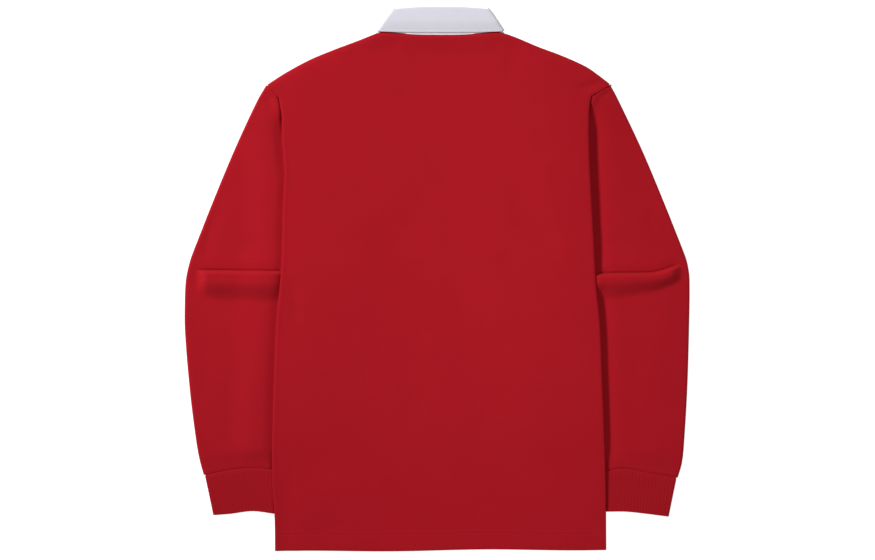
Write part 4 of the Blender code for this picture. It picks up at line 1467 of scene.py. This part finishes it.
def knit_group():
    """Rows of V-shaped knit stitches: their height, and a painted shade that darkens the colour in
    the hollows between the loops.
    """
    tree, given, made = new_group(
        "knit_stitches",
        [("Place", "Vector"), ("Wale", "Float"), ("Course", "Float")],
        [("Height", "Float"), ("Light", "Float")],
    )
    place = add_node(tree, "ShaderNodeSeparateXYZ", Vector=given["Place"]).outputs
    wale = calc(tree, "DIVIDE", place["X"], given["Wale"])
    course = calc(tree, "DIVIDE", place["Y"], given["Course"])
    leg = calc(tree, "PINGPONG", wale, 0.5)
    slanted = calc(tree, "MULTIPLY_ADD", leg, 1.3, course)
    loop = calc(tree, "SINE", calc(tree, "MULTIPLY", slanted, 2 * math.pi))
    loop = calc(tree, "MULTIPLY_ADD", loop, 0.5, 0.5)
    column = calc(tree, "ABSOLUTE", calc(tree, "SINE", calc(tree, "MULTIPLY", wale, 2 * math.pi)))
    column = calc(tree, "POWER", column, 0.6)
    height = calc(tree, "MULTIPLY", column, calc(tree, "MULTIPLY_ADD", loop, 0.6, 0.4))
    connect(tree, made["Height"], height)
    # Painted shade: the colour darkens where the knit's relief is low, as shade falls in its
    # hollows.
    connect(tree, made["Light"], calc(tree, "MULTIPLY_ADD", height, 0.28, 0.84))
    return tree


def twill_group():
    """The diagonal lines of a woven twill, with a painted shade that darkens the colour in their
    low parts.
    """
    tree, given, made = new_group(
        "twill_lines",
        [("Place", "Vector"), ("Step", "Float")],
        [("Height", "Float"), ("Light", "Float")],
    )
    place = add_node(tree, "ShaderNodeSeparateXYZ", Vector=given["Place"]).outputs
    across = calc(tree, "DIVIDE", place["X"], given["Step"])
    along = calc(tree, "DIVIDE", place["Y"], given["Step"])
    slant = calc(tree, "MULTIPLY_ADD", along, 0.9, across)
    line = calc(tree, "SINE", calc(tree, "MULTIPLY", slant, 2 * math.pi))
    crossing = calc(tree, "SUBTRACT", across, along)
    thread = calc(tree, "SINE", calc(tree, "MULTIPLY", crossing, 3 * math.pi))
    height = calc(tree, "MULTIPLY_ADD", line, 0.38, 0.5)
    height = calc(tree, "MULTIPLY_ADD", thread, 0.10, height)
    connect(tree, made["Height"], height)
    # Painted shade: the colour darkens where the weave's relief is low, as shade falls in its
    # grooves.
    connect(tree, made["Light"], calc(tree, "MULTIPLY_ADD", height, 0.10, 0.94))
    return tree


def tone_group():
    """Dyed cloth isn't one flat colour: broad soft patches, and fine flecks of the yarn. The colour
    is also darkened by the painted shade of the knit or weave.
    """
    tree, given, made = new_group(
        "cloth_tone",
        [
            ("Place", "Vector"), ("Colour", "Color"), ("Light", "Float"), ("Patches", "Float"),
            ("Flecks", "Float"),
        ],
        [("Colour", "Color"), ("Rough", "Float")],
    )
    patches = add_node(tree, "ShaderNodeTexNoise", Vector=given["Place"], Scale=16.0, Detail=3.0)
    flecks = add_node(tree, "ShaderNodeTexNoise", Vector=given["Place"], Scale=1500.0, Detail=2.0)
    patch = calc(tree, "SUBTRACT", patches.outputs["Fac"], 0.5)
    fleck = calc(tree, "SUBTRACT", flecks.outputs["Fac"], 0.5)
    # The painted shade of the knit or weave, with the real patches and flecks of tone on top of it.
    light = calc(tree, "MULTIPLY_ADD", patch, given["Patches"], given["Light"])
    light = calc(tree, "MULTIPLY_ADD", fleck, given["Flecks"], light)
    toned = add_node(tree, "ShaderNodeVectorMath", {"operation": "SCALE"}, Scale=light)
    connect(tree, toned.inputs[0], given["Colour"])
    connect(tree, made["Colour"], toned.outputs["Vector"])
    connect(tree, made["Rough"], calc(tree, "MULTIPLY_ADD", fleck, 0.15, 0.88))
    return tree


def nap_group():
    """The fine fuzz on cotton, added to the height of its knit or weave."""
    tree, given, made = new_group(
        "cotton_nap",
        [("Place", "Vector"), ("Height", "Float"), ("Fuzz", "Float")],
        [("Height", "Float")],
    )
    fuzz = add_node(tree, "ShaderNodeTexNoise", Vector=given["Place"], Scale=2600.0, Detail=3.0)
    connect(
        tree, made["Height"],
        calc(tree, "MULTIPLY_ADD", fuzz.outputs["Fac"], given["Fuzz"], given["Height"]),
    )
    return tree


def new_material(name):
    made = bpy.data.materials.new(name)
    made.use_nodes = True
    return made, made.node_tree, made.node_tree.nodes["Principled BSDF"]


def finish_cloth(tree, shader, place, pattern, colour, mottle, fuzz, strength):
    """Colour, roughness and relief of a cloth from its pattern of stitches or weave; the colour
    carries the pattern's painted shade.
    """
    tone = place_group(
        tree, GROUPS["tone"], Place=place, Colour=(*colour, 1.0), Light=pattern["Light"],
        Patches=mottle, Flecks=mottle,
    )
    nap = place_group(tree, GROUPS["nap"], Place=place, Height=pattern["Height"], Fuzz=fuzz)
    relief = add_node(
        tree, "ShaderNodeBump", Strength=strength, Distance=CLOTH_RELIEF, Height=nap["Height"]
    )
    connect(tree, shader.inputs["Base Color"], tone["Colour"])
    connect(tree, shader.inputs["Roughness"], tone["Rough"])
    connect(tree, shader.inputs["Normal"], relief.outputs["Normal"])


def cloth_place(tree):
    """The place on the flat cloth that each point keeps."""
    return add_node(tree, "ShaderNodeAttribute", {"attribute_name": "cloth"}).outputs["Vector"]


def knitted_material(name, colour, wale, course, strength):
    made, tree, shader = new_material(name)
    place = cloth_place(tree)
    stitches = place_group(tree, GROUPS["knit"], Place=place, Wale=wale, Course=course)
    finish_cloth(tree, shader, place, stitches, colour, 0.10, 0.5, strength)
    shader.inputs["Specular IOR Level"].default_value = 0.12
    shader.inputs["Sheen Weight"].default_value = 0.06
    shader.inputs["Sheen Roughness"].default_value = 0.5
    shader.inputs["Sheen Tint"].default_value = (1.0, 0.45, 0.42, 1.0)
    return made


def twill_material():
    made, tree, shader = new_material("white_twill")
    place = cloth_place(tree)
    weave = place_group(tree, GROUPS["twill"], Place=place, Step=TWILL_STEP)
    finish_cloth(tree, shader, place, weave, TWILL_WHITE, 0.05, 0.4, 0.35)
    shader.inputs["Specular IOR Level"].default_value = 0.2
    shader.inputs["Sheen Weight"].default_value = 0.05
    return made


def thread_material(name, colour):
    """Twisted sewing thread, a little smoother than the cloth."""
    made, tree, shader = new_material(name)
    place = add_node(tree, "ShaderNodeTexCoord").outputs["Object"]
    twist = add_node(
        tree, "ShaderNodeTexWave", {"bands_direction": "DIAGONAL"}, Vector=place, Scale=900.0
    )
    # The thread's colour takes no painted shade.
    tone = place_group(
        tree, GROUPS["tone"], Place=place, Colour=(*colour, 1.0), Light=1.0, Patches=0.05,
        Flecks=0.12,
    )
    relief = add_node(
        tree, "ShaderNodeBump", Strength=0.4, Distance=0.0001, Height=twist.outputs["Fac"]
    )
    connect(tree, shader.inputs["Base Color"], tone["Colour"])
    connect(tree, shader.inputs["Normal"], relief.outputs["Normal"])
    shader.inputs["Roughness"].default_value = 0.7
    shader.inputs["Specular IOR Level"].default_value = 0.25
    return made


def button_material():
    """Cast plastic with a faint pearly swirl under a clear face."""
    made, tree, shader = new_material("white_button")
    place = add_node(tree, "ShaderNodeTexCoord").outputs["Object"]
    swirl = add_node(
        tree, "ShaderNodeTexNoise", Vector=place, Scale=260.0, Detail=3.0, Distortion=1.6
    )
    light = calc(tree, "MULTIPLY_ADD", swirl.outputs["Fac"], 0.16, 0.92)
    toned = add_node(tree, "ShaderNodeVectorMath", {"operation": "SCALE"}, Scale=light)
    connect(tree, toned.inputs[0], BUTTON_WHITE)
    connect(tree, shader.inputs["Base Color"], toned.outputs["Vector"])
    scuffs = add_node(tree, "ShaderNodeTexNoise", Vector=place, Scale=900.0, Detail=4.0)
    connect(
        tree, shader.inputs["Roughness"],
        calc(tree, "MULTIPLY_ADD", scuffs.outputs["Fac"], 0.18, 0.22),
    )
    shader.inputs["Coat Weight"].default_value = 0.4
    shader.inputs["Coat Roughness"].default_value = 0.15
    return made


def floor_material():
    """A plain white surface that glows a little, as a light table does."""
    made, tree, shader = new_material("floor_white")
    grain = add_node(tree, "ShaderNodeTexNoise", Scale=4.0, Detail=2.0)
    light = calc(tree, "MULTIPLY_ADD", grain.outputs["Fac"], 0.02, 0.54)
    shade = add_node(tree, "ShaderNodeCombineXYZ", X=light, Y=light, Z=light)
    connect(tree, shader.inputs["Base Color"], shade.outputs["Vector"])
    shader.inputs["Roughness"].default_value = 0.9
    shader.inputs["Specular IOR Level"].default_value = 0.1
    shader.inputs["Emission Color"].default_value = (1.0, 1.0, 1.0, 1.0)
    shader.inputs["Emission Strength"].default_value = 0.85
    return made


def add_lamp(name, lamp):
    """A soft spot light, turned from the left towards the collar and raised off the floor."""
    light = bpy.data.lights.new(name, "SPOT")
    light.energy = lamp.power
    light.shadow_soft_size = lamp.width * MM
    light.spot_size = lamp.cone
    light.spot_blend = 1.0
    way = Vector((
        -math.cos(lamp.rise) * math.cos(lamp.turn),
        math.cos(lamp.rise) * math.sin(lamp.turn),
        math.sin(lamp.rise),
    ))
    made = bpy.data.objects.new(name, light)
    made.location = Vector(in_metres(LIGHT_AIM)) + way * (lamp.distance * MM)
    made.rotation_euler = way.to_track_quat("Z", "Y").to_euler()
    bpy.context.scene.collection.objects.link(made)


def make_light():
    """A key light from the upper left, a weaker one overhead, and an even white surround."""
    add_lamp("key", KEY)
    add_lamp("overhead", OVERHEAD)
    world = bpy.data.worlds.new("surround")
    world.use_nodes = True
    background = world.node_tree.nodes["Background"]
    background.inputs["Color"].default_value = (1.0, 1.0, 1.0, 1.0)
    background.inputs["Strength"].default_value = FILL_STRENGTH
    bpy.context.scene.world = world


def make_camera():
    """Straight above the shirt, with the picture's width of it in view."""
    lens = bpy.data.cameras.new("camera")
    lens.sensor_width = SENSOR
    lens.lens = SENSOR * (CAMERA_HEIGHT - VIEW_LEVEL) / VIEW_WIDTH
    camera = bpy.data.objects.new("camera", lens)
    camera.location = in_metres((VIEW_X, VIEW_Y, CAMERA_HEIGHT))
    bpy.context.scene.collection.objects.link(camera)
    bpy.context.scene.camera = camera


GROUPS = {
    "knit": knit_group(), "twill": twill_group(), "tone": tone_group(), "nap": nap_group(),
}


def main():
    bpy.context.scene.view_settings.view_transform = "Standard"
    make_camera()
    make_light()
    make_floor()
    jersey = knitted_material("red_jersey", JERSEY_RED, WALE, COURSE, 0.45)
    rib = knitted_material("red_rib", RIB_RED, RIB_WALE, COURSE, 0.5)
    twill = twill_material()
    red_thread = thread_material("red_thread", THREAD_RED)
    white_thread = thread_material("white_thread", THREAD_WHITE)
    pearl = button_material()
    for side in SIGN:
        make_sleeve(side, jersey)
        make_cuff(side, rib)
    make_body(jersey, red_thread)
    make_collar(twill, white_thread)
    make_placket(twill, white_thread)
    for button in BUTTONS:
        make_button(button, pearl, white_thread)


main()
